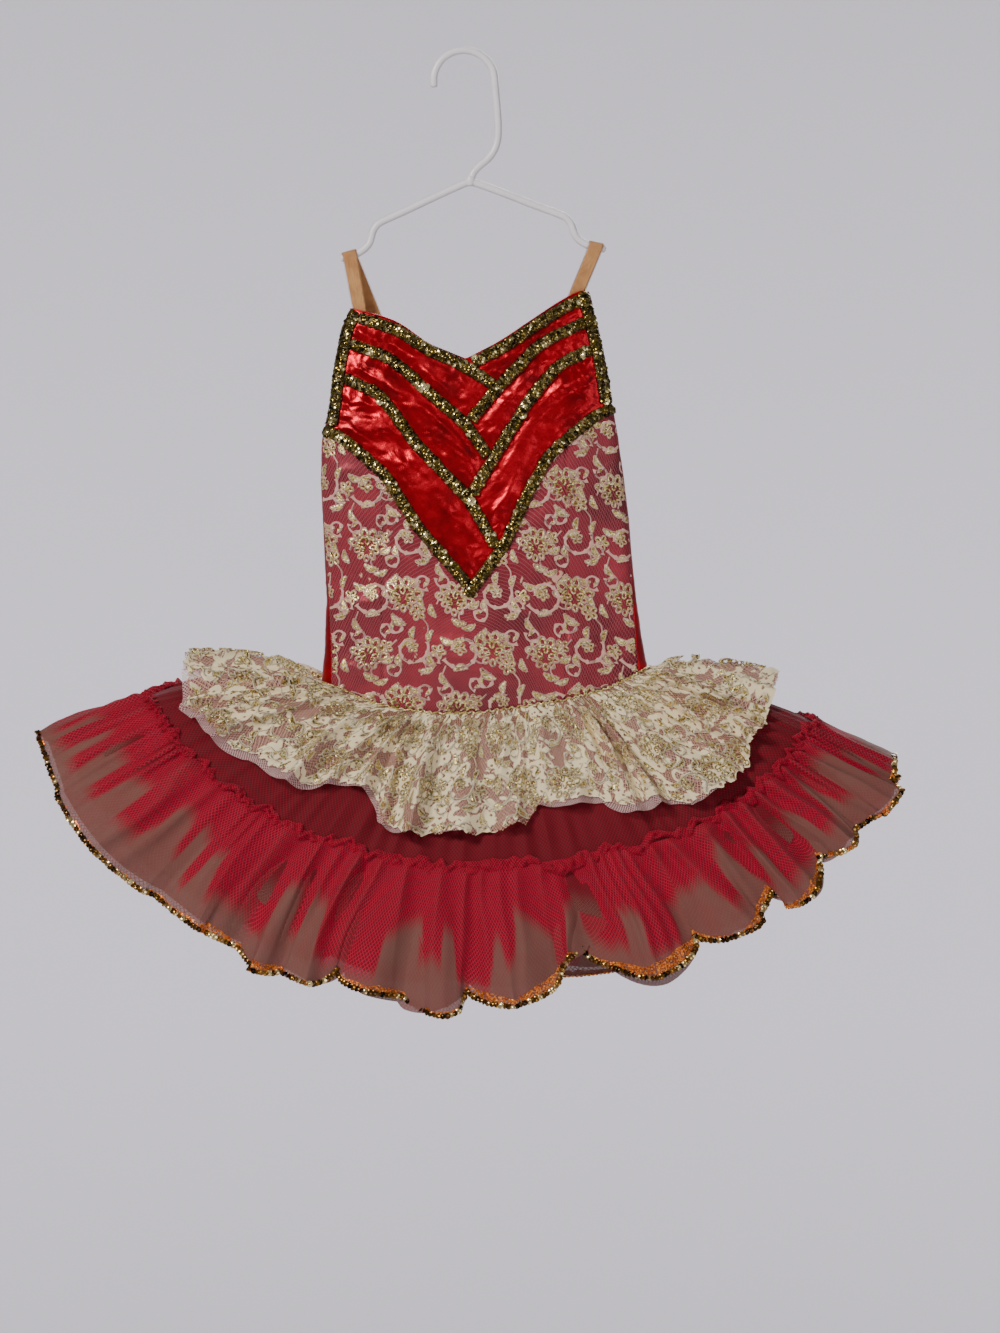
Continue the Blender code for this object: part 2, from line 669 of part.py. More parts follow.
def strap_edges(strap):
    """The middle and the width direction at each station of a strap."""
    stations = []
    inside = WALL + LAYER_GAP + STRAP_WALL / 2

    def lapped(turn_of, x, z):
        spots = []
        for edge in (-STRAP_WIDTH / 2, STRAP_WIDTH / 2):
            turn = turn_of(x + edge, z)
            spots.append(body_point(turn, z) - body_normal(turn, z) * inside)
        return spots

    def turn_of_back(x, z):
        return FULL_TURN - turn_of_front(x, z)

    along, upward = rod_slope(strap.rod_out)
    centre = arm_point(strap.rod_out)
    reach = ROD_RADIUS + LAYER_GAP + STRAP_WALL / 2
    top_x = centre[0]
    lean = (top_x - strap.neck_x) / (centre[2] - strap.neck_z)
    for drop in (-STRAP_LAP, -STRAP_LAP / 2, 0.0):
        stations.append(lapped(turn_of_front, strap.neck_x + lean * drop, strap.neck_z + drop))
    for step in range(STRAP_ARC_STEPS + 1):
        turn = math.pi * step / STRAP_ARC_STEPS
        spot = centre + reach * (upward * math.sin(turn) - np.array([0.0, math.cos(turn), 0.0]))
        stations.append([spot - along * STRAP_WIDTH / 2, spot + along * STRAP_WIDTH / 2])
    lean = (top_x - strap.back_x) / (centre[2] - strap.back_z)
    for share in (0.25, 0.5, 0.75):
        foot = lapped(turn_of_back, strap.back_x, strap.back_z)
        high = stations[3 + STRAP_ARC_STEPS]
        stations.append([high[edge] + (foot[edge] - high[edge]) * share for edge in (0, 1)])
    for drop in (0.0, -STRAP_LAP / 2, -STRAP_LAP):
        stations.append(lapped(turn_of_back, strap.back_x + lean * drop, strap.back_z + drop))
    return np.array(stations)


def build_straps(material):
    """Two elastic straps over the hanger's arms."""
    for strap in STRAPS:
        edges = strap_edges(strap)
        centre = edges.mean(axis=1)
        run = np.gradient(centre, axis=0)
        width = edges[:, 1] - edges[:, 0]
        normal = np.cross(run, width)
        normal /= np.linalg.norm(normal, axis=1, keepdims=True)
        offset = (normal * STRAP_WALL / 2)[None]
        middle = np.stack([edges[:, 0], centre, edges[:, 1]], axis=0)
        add_wall(strap.name, middle + offset, middle - offset, material)


def hip_ring(turn):
    """The seam between bodice and skirt at a turn."""
    z = np.full(np.shape(turn), -540.0)
    for _ in range(SEARCH_ROUNDS):
        x = body_point(turn, z)[..., 0]
        z = (z + line_height(HIP_LINE, x)) / 2
    return body_point(turn, z)


def fan_point(turn, reach):
    """The skirt's base surface: the point at a reach out from the hip seam."""
    start = hip_ring(turn)
    angle = np.radians(turn)
    sine = np.sin(angle)
    share = (1 + np.cos(angle)) / 2
    far = reach / HEM_REACH
    left = FAN_LEFT + FAN_LEFT_DROOP * far
    right = FAN_RIGHT - FAN_RIGHT_DROOP * far
    lean = left + (right - left) * share
    behind = sine > 0.0
    lift_left = np.sin(math.pi * np.clip(share / BACK_LIFT_SHARE, 0.0, 1.0))
    lift_right = np.sin(math.pi * np.clip((1 - share) / BACK_LIFT_SHARE, 0.0, 1.0))
    lift = (BACK_LIFT_RIGHT * lift_right - BACK_LIFT_LEFT * lift_left) * np.cos(far * math.pi / 2)
    lean = lean + np.where(behind, lift, 0.0)
    spread = np.where(behind, BACK_SPREAD, FRONT_SPREAD) * np.sin(far * math.pi / 2)
    x = start[..., 0] + reach * np.cos(np.radians(lean))
    y = start[..., 1] + spread * np.sign(sine) * np.abs(sine) ** ROUND_POWER
    z = start[..., 2] + reach * np.sin(np.radians(lean))
    return np.stack([x, y, z], axis=-1)


def fan_normal(turn, reach):
    """The outward normal of the skirt's base surface."""
    around = fan_point(turn + PROBE, reach) - fan_point(turn - PROBE, reach)
    down = fan_point(turn, reach + PROBE / 2) - fan_point(turn, reach - PROBE / 2)
    normal = np.cross(down, around)
    return normal / np.linalg.norm(normal, axis=-1, keepdims=True)


def fold_columns(folds, per_fold):
    """Turns of the columns and, at each, the fold's height, hem reach and depth."""
    starts = column(folds, "turn")
    ends = np.append(starts[1:], starts[0] + FULL_TURN)
    share = np.arange(per_fold) / per_fold
    turn = (starts[:, None] + (ends - starts)[:, None] * share).ravel()
    valley = column(folds, "valley")
    after = np.roll(valley, -1)
    crest = column(folds, "crest")
    height = (1 - np.cos(2 * math.pi * share)) / 2
    lobe = np.sin(math.pi * share) ** LOBE_POWER
    side = np.where(share[None] < 0.5, valley[:, None], after[:, None])
    reach = (side + (crest[:, None] - side) * lobe).ravel()
    depth = (column(folds, "depth")[:, None] * height).ravel()
    return turn % FULL_TURN, reach, depth


def add_layer(name, turn, reach, outer_lift, wall, material):
    """Add one gathered layer: rows by reach, columns by turn, lifted off the fan."""
    turn = np.broadcast_to(turn, reach.shape)
    base = fan_point(turn, reach)
    normal = fan_normal(turn, reach)
    outer = base + normal * outer_lift[..., None]
    around = np.roll(outer, -1, axis=1) - np.roll(outer, 1, axis=1)
    down = np.gradient(outer, axis=0)
    facing = np.cross(down, around)
    facing /= np.linalg.norm(facing, axis=-1, keepdims=True)
    lean = np.clip(np.sum(facing * normal, axis=-1), SLOPE_LIMIT, 1.0)
    inner_lift = outer_lift - wall / lean
    inner = base + normal * inner_lift[..., None]
    add_wall(name, outer, inner, material, ring=True)
    return inner_lift


def rows_between(first, last, shares):
    """Reaches of a layer's rows between its top and its hem."""
    shares = np.array(shares)[:, None]
    return first + (last - first) * shares


def build_skirt(tulle, sheer):
    """The tier, the gathered ruffle and the petticoat."""
    turn, _, depth = fold_columns(RUFFLE_FOLDS, TIER_COLUMNS)
    seam = np.interp(turn, column(GATHER_SEAM, "turn"), column(GATHER_SEAM, "reach"))
    upper = rows_between(TIER_TOP, PETTICOAT_TOP, TIER_ROWS) * np.ones(len(turn))
    reach = np.vstack([upper, seam - SEAM_GAP])
    add_layer("skirt_tier", turn, reach, np.zeros(reach.shape), NET_WALL, tulle)

    lower = rows_between(seam - SEAM_GAP, PETTICOAT_REACH, PETTICOAT_ROWS)
    reach = np.vstack([upper[-1], lower])
    below = np.clip((reach - seam) / (HEM_REACH - seam), 0.0, 1.0)
    lift = -NET_WALL - PETTICOAT_GAP + PETTICOAT_SHARE * depth * below ** FOLD_EASE
    add_layer("petticoat", turn, reach, lift, NET_WALL, tulle)

    turn, hem, depth = fold_columns(RUFFLE_FOLDS, RUFFLE_COLUMNS)
    seam = np.interp(turn, column(GATHER_SEAM, "turn"), column(GATHER_SEAM, "reach"))
    reach = rows_between(seam + SEAM_GAP, hem, RUFFLE_ROWS)
    share = np.array(RUFFLE_ROWS)[:, None]
    lift = depth * share ** FOLD_EASE
    lift[HEADING_ROW] += HEADING_PUFF
    add_layer("skirt_ruffle", turn, reach, lift, NET_WALL, sheer)


def build_overskirt(lace, net):
    """The gathered lace overskirt and its net lining."""
    turn, hem, depth = fold_columns(LACE_FOLDS, LACE_COLUMNS)

    def lace_lift(reach):
        share = np.clip(reach / hem, 0.0, 1.0)
        ramp = np.clip(reach / LACE_OUT_REACH, 0.0, 1.0)
        fold = depth * (FOLD_START + (1 - FOLD_START) * share ** FOLD_EASE)
        return LACE_OUT_TOP + (LACE_OUT - LACE_OUT_TOP + fold) * ramp

    reach = rows_between(LACE_TOP, hem, LACE_ROWS)
    lift = lace_lift(reach)
    inner_lift = add_layer("overskirt_lace", turn, reach, lift, WALL, lace)
    thick = (lift - inner_lift).max(axis=0)
    longer = np.interp(turn, column(LINING_HEM, "turn"), column(LINING_HEM, "longer"))
    reach = rows_between(LACE_TOP, hem, LINING_ROWS)
    reach[-1] += longer
    lift = lace_lift(reach) - thick - LAYER_GAP
    add_layer("overskirt_lining", turn, reach, lift, NET_WALL, net)


def main():
    """Build every piece."""
    clear_scene()
    satin = make_finish("red_satin", SATIN)
    lace_on_satin = make_finish("lace_over_satin", LACE_ON_SATIN)
    lace = make_finish("gold_lace", LACE)
    pale_net = make_finish("pale_net", PALE_NET)
    sequin = make_finish("gold_sequins", SEQUIN)
    elastic = make_finish("tan_elastic", ELASTIC)
    tulle = make_finish("red_tulle", TULLE)
    sheer = make_finish("sheer_tulle", SHEER_TULLE)
    plastic = make_finish("white_plastic", PLASTIC)
    build_hanger(plastic)
    build_straps(elastic)
    build_bodice(satin, lace_on_satin)
    build_trims(sequin)
    build_overskirt(lace, pale_net)
    build_skirt(tulle, sheer)


main()
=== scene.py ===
"""The looks of a child's tutu dance costume on its hanger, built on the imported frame.

Metres, +Z up, +X to the viewer's right, the front faces -Y. Tables are in
millimetres and degrees, as in the CAD source: a turn goes round the body with
0 at the right, 90 at the back, 180 at the left and 270 at the front, and a reach
is a distance out from the hip seam along the skirt.
"""
from __future__ import annotations

import logging
import math
from dataclasses import dataclass, field
from enum import Enum
from typing import Callable, Sequence

import bpy
import numpy as np
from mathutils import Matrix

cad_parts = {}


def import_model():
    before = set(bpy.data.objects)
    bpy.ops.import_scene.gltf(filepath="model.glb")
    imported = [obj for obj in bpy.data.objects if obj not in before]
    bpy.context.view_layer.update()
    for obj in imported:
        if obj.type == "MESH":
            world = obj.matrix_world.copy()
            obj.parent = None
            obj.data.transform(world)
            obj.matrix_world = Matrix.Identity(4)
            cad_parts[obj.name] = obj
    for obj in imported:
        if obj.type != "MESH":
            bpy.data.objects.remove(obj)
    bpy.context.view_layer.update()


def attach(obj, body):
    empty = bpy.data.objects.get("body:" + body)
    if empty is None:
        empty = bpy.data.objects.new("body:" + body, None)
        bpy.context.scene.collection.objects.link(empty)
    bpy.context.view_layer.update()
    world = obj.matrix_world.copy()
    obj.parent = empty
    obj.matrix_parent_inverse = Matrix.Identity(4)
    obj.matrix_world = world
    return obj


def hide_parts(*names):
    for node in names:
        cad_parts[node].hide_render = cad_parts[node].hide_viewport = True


LOG = logging.getLogger("costume")
Array = np.ndarray
Rows = Sequence[Sequence[float]]
Object = bpy.types.Object
Material = bpy.types.Material
Node = bpy.types.Node
Socket = bpy.types.NodeSocket
Tree = bpy.types.NodeTree
Colour = tuple[float, float, float, float]

MM = 0.001
FULL_TURN = 360.0
# A tube's first side is square to this direction, which no path here follows
TUBE_SIDE = np.array([0.013, 1.0, 0.017])

# Sections of the body: z, left, right, front, back, and how far in the side seams lie
SECTIONS: Rows = (
    (-640, -116, 150, 31, 28, 12, 12),
    (-570, -123, 160, 31, 28, 12, 12),
    (-540, -121.5, 159.5, 30, 27, 9.5, 10.5),
    (-507, -118.2, 153, 29, 25, 6, 7),
    (-464, -116.8, 146.2, 28, 23, 2.6, 3),
    (-430, -118.2, 142.8, 27, 22, 1.2, 1.2),
    (-396, -119.9, 140.1, 26, 21, 0.8, 0.8),
    (-362, -121.6, 136, 25, 20, 0.8, 0.8),
    (-328, -120.7, 131.3, 23, 18, 0.8, 0.8),
    (-307, -115.6, 127.9, 22, 17, 0.8, 0.8),
    (-269, -111.4, 122.4, 19, 15, 0.8, 0.8),
    (-235, -105.4, 115.5, 16, 13, 0.8, 0.8),
    (-217, -97.5, 111, 14, 12, 0.8, 0.8),
    (-200, -94, 107, 13, 11, 0.8, 0.8),
)
SECTION_FIELDS = ("z", "left", "right", "front", "back", "inset_left", "inset_right")

# Lines across the body: x, z
NECKLINE: Rows = (
    (-97, -216), (-58.7, -227.8), (-28.9, -247.4), (1.7, -260), (30.6, -245),
    (56.1, -228), (81.6, -211), (100, -202), (110, -206.5),
)
YOKE_LINE: Rows = (
    (-121, -318), (-101.2, -328), (-67.2, -358), (-37.4, -404.6), (6.8, -455.6),
    (34.9, -417.4), (56.1, -370.6), (73.1, -341), (107.1, -311), (129, -300),
)
HIP_LINE: Rows = (
    (-121.5, -536), (-101, -542), (-80, -551), (-54, -557), (-20, -560),
    (14, -559), (48, -554), (82, -549), (116, -541), (141, -530),
    (159, -521),
)
BACK_TOP: Rows = (
    (-118, -303), (-100, -307), (-66, -320), (-33, -328), (6, -331),
    (45, -327), (80, -318), (112, -305), (128, -300),
)
PRINCESS_LEFT = -68.9
PRINCESS_RIGHT = 85.9
TIP_X = 6.8
MIDDLE_X = 15.0

# Middle lines of the sequin trims: x, z
TRIMS: dict[str, Rows] = {
    "neck_trim_left": (
        (-88.6, -225.1), (-71.4, -230.5), (-54.6, -237.1), (-39.4, -246.9),
        (-23.7, -255.8), (-7, -262.9), (8.8, -271.6), (24, -281.4)),
    "neck_trim_right": (
        (96.9, -210.6), (81.5, -218.6), (67, -228), (52.5, -237.6),
        (38.2, -247.3), (23.1, -255.8), (7.8, -263.8)),
    "second_trim_left": (
        (-95.3, -246.7), (-79.7, -253.1), (-64, -259.6), (-50.5, -269.6),
        (-38.2, -281.2), (-25.7, -292.6), (-12.7, -303.4), (0.1, -314.5),
        (10.3, -328), (19.9, -342)),
    "second_trim_right": (
        (101.6, -228.9), (87.2, -236.1), (72.9, -243.3), (59.8, -252.4),
        (48.7, -264), (37.6, -275.7), (26.7, -287.4), (16.4, -299.8), (6.1, -312.1)),
    "third_trim_left": (
        (-100.5, -276.5), (-85.8, -283.3), (-71.7, -291), (-61.5, -303.5),
        (-52, -316.6), (-42.4, -329.6), (-31.4, -341.5), (-20.3, -353.3),
        (-9.1, -365), (1.9, -376.8), (10.4, -390.6), (18.7, -404.5), (26.5, -418.7)),
    "third_trim_right": (
        (106.8, -251.8), (92.5, -259), (79, -267.6), (68.5, -279.7),
        (58, -291.9), (49.1, -305.3), (40.6, -318.9), (32.3, -332.6),
        (24.2, -346.5), (15.7, -360.2), (7.3, -373.9)),
    "fourth_trim_left": (
        (-117.2, -320.1), (-102.7, -327.6), (-90, -337.9), (-77.7, -348.7),
        (-66, -359.9), (-57.1, -373.7), (-48.4, -387.4), (-39.6, -401.2),
        (-29.3, -413.9), (-18.6, -426.3), (-7.9, -438.6), (2.8, -451)),
    "fourth_trim_right": (
        (125.5, -301.6), (110.4, -309.4), (97, -319.9), (84.2, -331.1),
        (72, -343), (63.5, -357.7), (55.2, -372.6), (48.2, -388.1),
        (41.1, -403.6), (33.5, -418.8), (23.6, -432.7), (13.6, -446.4), (3.5, -460.1)),
    "armhole_trim_left": (
        (-92.3, -220.5), (-98.7, -235.6), (-102, -251.5), (-105, -267.6),
        (-107, -283.8), (-109, -300), (-112, -316)),
    "armhole_trim_right": (
        (101, -203.6), (105.6, -222.2), (110.2, -240.8), (114.2, -259.6),
        (117.7, -278.4), (120.6, -297.4)),
}

# Folds of the skirt: turn, valley, crest, depth
RUFFLE_FOLDS: Rows = (
    (166, 236, 242, 7), (208, 252, 254, 18), (232, 247, 247, 14),
    (244.5, 245, 256, 10), (250.5, 248, 249, 11), (257, 231, 243, 11),
    (263.3, 242, 254, 13), (271, 233, 247, 15), (280.4, 228, 214, 8),
    (285, 203, 246, 17), (297.8, 224, 242, 14), (308.3, 222, 246, 13),
    (318, 224, 238, 12), (328, 230, 241, 15), (344, 234, 222, 6),
    (373, 232, 240, 14), (388, 233, 241, 13), (400, 230, 243, 14),
    (413, 232, 240, 12), (425, 234, 244, 15), (439, 231, 242, 13),
    (451, 233, 241, 14), (464, 230, 243, 12), (476, 232, 240, 15),
    (489, 234, 243, 13), (501, 231, 241, 14), (514, 233, 242, 12),
)
LACE_FOLDS: Rows = (
    (157, 106, 109, 21), (203, 124, 117, 11), (226, 104, 104, 12),
    (242, 90, 82, 10), (254, 99, 109, 11), (264, 104, 105, 9),
    (273, 103, 101, 10), (282, 84, 86, 10), (294, 88, 108, 12),
    (308, 125, 130, 13), (323, 129, 117, 13), (339, 112, 106, 19),
    (383, 106, 108, 12), (400, 104, 107, 12), (417, 105, 106, 11),
    (433, 104, 108, 12), (450, 105, 106, 11), (467, 104, 108, 12),
    (483, 105, 106, 11), (500, 104, 107, 12),
)
# Lists by turn: how much longer the lining is, the gather seam's reach, the dense
# net's hem, how far the sheer under-layer hangs past the ruffle, the hem band's width
LINING_HEM: Rows = (
    (0, 0), (20, 2), (170, 2), (200, 6), (215, 8), (232, 8),
    (245, 3), (256, 4), (263, 0), (280, -2), (288, 6), (302, 8),
    (309, 2), (320, -3),
)
GATHER_SEAM: Rows = (
    (0, 146), (20, 138), (90, 135), (160, 138), (180, 150),
    (212, 146), (232, 140), (250, 131), (290, 131), (302, 143),
    (335, 148),
)
DENSE_HEM: Rows = (
    (0, 196), (24, 203), (51, 194), (80, 206), (104, 196),
    (130, 208), (154, 198), (172, 200), (186, 208), (200, 206),
    (214, 212), (224, 196), (229, 176), (235, 208), (241, 186),
    (245, 204), (250, 184), (255, 206), (261, 218), (266, 176),
    (269, 205), (273, 216), (276.5, 170), (280, 204), (285, 158),
    (290, 204), (296, 212), (303, 196), (307, 168), (313, 210),
    (320, 192), (328, 178), (336, 168), (344, 196), (353, 204),
)
UNDER_LONGER: Rows = (
    (0, -8), (60, -6), (120, -9), (180, -6), (236, -8), (252, -4),
    (259, 2), (264, 4.5), (268, -6), (279, -6), (286, 3), (292, 7),
    (297, 5), (302, -6), (312, 1), (318, 4), (324, -8), (345, -3),
)
BAND_WIDTH: Rows = (
    (0, 4), (90, 5), (180, 4), (232, 4), (238, 6), (241.5, 12),
    (244, 5), (247, 13), (250, 9), (252, 4), (258, 5), (261, 10),
    (264, 6), (268, 4), (273, 12), (276, 8), (279.5, 15), (282, 7),
    (285, 4), (289, 13), (294, 17), (298.5, 9), (301, 4), (305, 14),
    (308.5, 9), (311, 5), (315, 12), (318.5, 5), (326, 4), (340, 5),
)

# Sequins that catch the light: x, z, scale
SPARKS: Rows = (
    (-81, -252.7, 1.2), (9.3, -260, 1.15), (-33.8, -284, 1.2), (-70.3, -296, 1.2),
    (6.8, -381, 1.6), (18.9, -408.5, 1.2), (100.7, -256.9, 1.2), (52.9, -309, 1.15),
    (-104.3, -327.1, 1.2), (120, -294.8, 1.2), (-38.5, -334, 1.15),
)

# Creases in the satin: x and z of both ends, width, height
FRONT_CREASES: Rows = (
    (-36, -300, 2, -336, 3, 1.2), (-16, -326, 14, -352, 2.6, 1.5),
    (-12, -334, 16, -360, 2.2, 1.3), (-6, -322, 20, -350, 2, -0.8),
    (-58, -352, -34, -342, 4, 1.3), (-52, -340, -44, -352, 3, -0.8),
    (14, -262, 38, -257, 2.4, 1), (18, -270, 40, -262, 2.4, -0.9),
    (26, -293, 46, -300, 2.6, 1.2), (30, -286, 54, -292, 2.6, 1.1),
    (40, -276, 60, -268, 3, -0.8), (74, -290, 112, -268, 7, 2),
    (70, -300, 104, -282, 6, -1.2), (60, -238, 84, -246, 3, 1),
    (82, -226, 100, -216, 3.4, 1), (-96, -232, -70, -250, 5, 1.4),
    (-110, -300, -108, -280, 4, 1.2), (-104, -318, -88, -326, 3, 1),
    (-62, -262, -20, -296, 5, -1), (-40, -268, -12, -290, 4, 1.3),
    (-80, -276, -40, -300, 6, 1.4), (-60, -330, -30, -366, 5, -0.9),
    (-20, -380, 0, -404, 5, 1.3), (0, -420, 10, -446, 4, 1),
    (30, -390, 44, -360, 4, 1.2), (52, -352, 70, -322, 5, -1),
    (22, -400, 30, -380, 3, 0.9), (20, -428, 70, -416, 5, 1.5),
    (24, -440, 90, -426, 4, -1), (-110, -360, -84, -352, 5, 1.2),
    (-60, -425, -20, -446, 7, 2.2), (-100, -470, -40, -455, 8, 2.4),
    (-30, -500, 40, -512, 9, 2.8), (-20, -520, 50, -530, 7, 2.4),
    (40, -470, 110, -460, 8, 2), (70, -505, 130, -490, 7, 2.2),
    (-110, -520, -60, -530, 6, 1.2), (-90, -425, -60, -400, 6, -1),
    (60, -400, 100, -380, 6, 1.2), (-20, -480, 20, -470, 6, -1),
)
BACK_CREASES: Rows = (
    (-90, -350, -30, -365, 8, 1.4), (-20, -372, 60, -360, 9, 1.5),
    (40, -400, 110, -385, 8, 1.4), (-100, -410, -40, -430, 9, 1.5),
    (-60, -470, 20, -455, 9, -1.2), (-90, -500, -10, -515, 8, 1.6),
    (20, -490, 100, -505, 8, 1.5), (60, -440, 120, -452, 7, -1.1),
    (-30, -535, 50, -528, 6, 1.4), (0, -345, 20, -420, 7, -1),
    (70, -340, 110, -330, 6, 1.2), (-110, -380, -80, -360, 6, 1.1),
)

# The hanger: x, z down the hook's tail; out, down along an arm
HOOK_TAIL: Rows = (
    (27.2, -36), (28.4, -50), (29, -62), (28.4, -73), (25.5, -82),
    (20, -89.5), (13.5, -95), (8, -101), (5.5, -109),
)
ARM: Rows = (
    (0, 0), (9, 2.6), (30, 11.2), (55, 22), (75.3, 30.3), (80.8, 33.8),
    (84.3, 38.8), (85.8, 43.8), (88, 49.3), (92.2, 53.6), (97, 56.6),
    (102.5, 58.6), (107, 59.7), (111, 60.6),
)
# The straps: name, neck x, neck z, place on the rod, back x, back z
STRAPS = (
    ("strap_left", -89.6, -216.5, -104.4, -34, -327),
    ("strap_right", 96.3, -203.5, 104.4, 44, -327),
)

# One cell of the lace. Scrolls: x, y, radius, start, sweep, thorns
SCROLLS = (
    (19, 23, 14.5, 150, -330, 9), (53, 66, 13, -20, 320, 8), (64, 12, 6.2, 60, 400, 3),
    (8, 56, 5.6, 200, -400, 3), (38, 84, 6, -60, 380, 3), (32, 52, 5.2, 100, 390, 3),
    (38, 48, 7, 250, 350, 5), (68, 78, 6.5, 20, -350, 5),
)
# Fans: x, y, radius, eyelets, angle
FANS = (
    (46, 24, 17, 6, -90), (46, 25, 11, 5, 90), (17, 74, 16, 6, -80), (17, 75, 10.5, 5, 95),
)
# Flowers: x, y, radius, petals, angle
FLOWERS = (
    (20, 22, 5, 5, 20), (53, 66, 4.6, 5, 50), (2, 24, 6, 5, 10), (58, 37, 6.4, 5, 40),
    (31, 66, 5.6, 5, 30),
)
# Leaves: x, y, angle, length, width
LEAVES = (
    (36, 38, 38, 15, 6), (33, 12, -40, 12, 5), (55, 49, 100, 11, 4.6), (69, 30, 70, 12, 5),
    (4, 42, 60, 12, 5), (14, 88, 20, 13, 5.4), (28, 79, -30, 11, 4.4), (70, 52, 110, 11, 4.4),
    (50, 8, 15, 12, 5), (58, 86, -15, 13, 5), (60, 22, 75, 11, 5), (26, 38, 170, 12, 5.4),
    (42, 72, 80, 11, 5), (4, 12, 20, 13, 5.4), (22, 4, -15, 12, 4.6), (66, 72, 60, 12, 5),
)
# Stems: the points of each
STEMS = (
    ((30, 30), (36, 34), (40, 33)), ((8, 36), (5, 45), (8, 50)), ((40, 60), (36, 64), (34, 66)),
    ((62, 76), (64, 84), (60, 90)), ((52, 14), (56, 16), (58, 14)), ((24, 80), (20, 86), (22, 92)),
    ((62, 42), (66, 48), (66, 54)), ((12, 64), (6, 68), (2, 76)),
)


class Slot(str, Enum):
    """Material slot names, which the builders take but do not use."""

    SATIN = "red_satin"
    LACE_ON_SATIN = "lace_over_satin"
    LACE = "gold_lace"
    PALE_NET = "pale_net"
    SEQUIN = "gold_sequins"
    ELASTIC = "tan_elastic"
    TULLE = "red_tulle"
    SHEER = "sheer_tulle"
    PLASTIC = "white_plastic"


class Held(str, Enum):
    """How a sheet of cloth is held."""

    GATHERED = "gathered"
    STRETCHED = "stretched"
    HUNG = "hung"


class Thread(Enum):
    """The two kinds of line in the lace."""

    CORD = "cord"
    GOLD = "gold"


def smooth_step(value: Array, low: float, high: float) -> Array:
    """Rise smoothly from 0 at low to 1 at high."""
    share = np.clip((value - low) / (high - low), 0.0, 1.0)
    return share * share * (3.0 - 2.0 * share)


def row_shares(rows: int) -> Array:
    """Give shares from 0 to 1 as a column of rows."""
    return np.linspace(0.0, 1.0, rows)[:, None]


def unit(vectors: Array) -> Array:
    """Scale vectors to length 1."""
    return vectors / np.maximum(np.linalg.norm(vectors, axis=-1, keepdims=True), 1e-12)


def path_lengths(path: Array) -> Array:
    """Measure a path from its start to each of its points."""
    return np.concatenate([[0.0], np.cumsum(np.linalg.norm(np.diff(path, axis=0), axis=1))])


def points_at(path: Array, lengths: Array, along: Array) -> Array:
    """Read a path, or values along it, at the given lengths."""
    return np.stack([np.interp(along, lengths, column) for column in path.T], axis=1)


def to_left(along: Array) -> Array:
    """Turn directions on a plane a quarter to the left."""
    return np.stack([-along[:, 1], along[:, 0]], axis=1)


def heading(angle: float) -> tuple[Array, Array]:
    """Give the direction at an angle in degrees, and the one to its left."""
    run = np.array([math.cos(math.radians(angle)), math.sin(math.radians(angle))])
    return run, np.array([-run[1], run[0]])


def resample(path: Array, step: float) -> Array:
    """Space points evenly along a path.

    Args:
        path: The points, one a row.
        step: The wanted spacing.

    Returns:
        The new points.
    """
    lengths = path_lengths(path)
    count = max(3, int(round(lengths[-1] / step)) + 1)
    return points_at(path, lengths, np.linspace(0.0, lengths[-1], count))


def rounded(path: Rows, step: float) -> Array:
    """Run a smooth line through listed points.

    Args:
        path: The points.
        step: The spacing of the result.

    Returns:
        Points on a Catmull-Rom curve, evenly spaced.
    """
    points = np.array(path, dtype=float)
    ends = np.vstack([2 * points[0] - points[1], points, 2 * points[-1] - points[-2]])
    share = np.linspace(0.0, 1.0, 12, endpoint=False)[:, None]
    parts = []
    for a, b, c, d in zip(ends, ends[1:], ends[2:], ends[3:]):
        parts.append(0.5 * (2 * b + (c - a) * share + (2 * a - 5 * b + 4 * c - d) * share ** 2
                            + (3 * b - a - 3 * c + d) * share ** 3))
    return resample(np.vstack(parts + [points[-1:]]), step)


class Noise:
    """Smooth noise on a plane, from a seed."""

    def __init__(self, seed: int, size: int = 64) -> None:
        """Fill the table of values."""
        self.table = np.random.default_rng(seed).uniform(-1.0, 1.0, (size, size))

    def at(self, x: Array, y: Array) -> Array:
        """Read the noise.

        Args:
            x: Places along the first axis, in cells.
            y: Places along the second axis, in cells.

        Returns:
            Values from -1 to 1.
        """
        x, y = np.broadcast_arrays(np.asarray(x, dtype=float), np.asarray(y, dtype=float))
        size = len(self.table)
        col, row = np.floor(x).astype(int), np.floor(y).astype(int)
        fx, fy = x - col, y - row
        fx, fy = fx * fx * (3 - 2 * fx), fy * fy * (3 - 2 * fy)
        a, b = self.table[row % size, col % size], self.table[row % size, (col + 1) % size]
        c, d = self.table[(row + 1) % size, col % size], self.table[(row + 1) % size, (col + 1) % size]
        return (a * (1 - fx) + b * fx) * (1 - fy) + (c * (1 - fx) + d * fx) * fy

    def layers(self, x: Array, y: Array, count: int) -> Array:
        """Add finer and weaker copies of the noise.

        Args:
            x: Places along the first axis, in cells.
            y: Places along the second axis, in cells.
            count: The number of layers.

        Returns:
            Values from about -1.5 to 1.5.
        """
        total = np.zeros(np.broadcast(x, y).shape)
        for layer in range(count):
            scale = 2.0 ** layer
            total = total + self.at(np.asarray(x) * scale + 5.3 * layer,
                                    np.asarray(y) * scale + 9.1 * layer) / scale
        return total


class Curve:
    """A value that runs through listed points."""

    def __init__(self, rows: Rows, period: float | None = None) -> None:
        """Keep the table."""
        self.keys, self.values = np.array(rows, dtype=float).T
        self.period = period

    def __call__(self, key: Array | float) -> Array:
        """Read the curve."""
        return np.interp(key, self.keys, self.values, period=self.period)


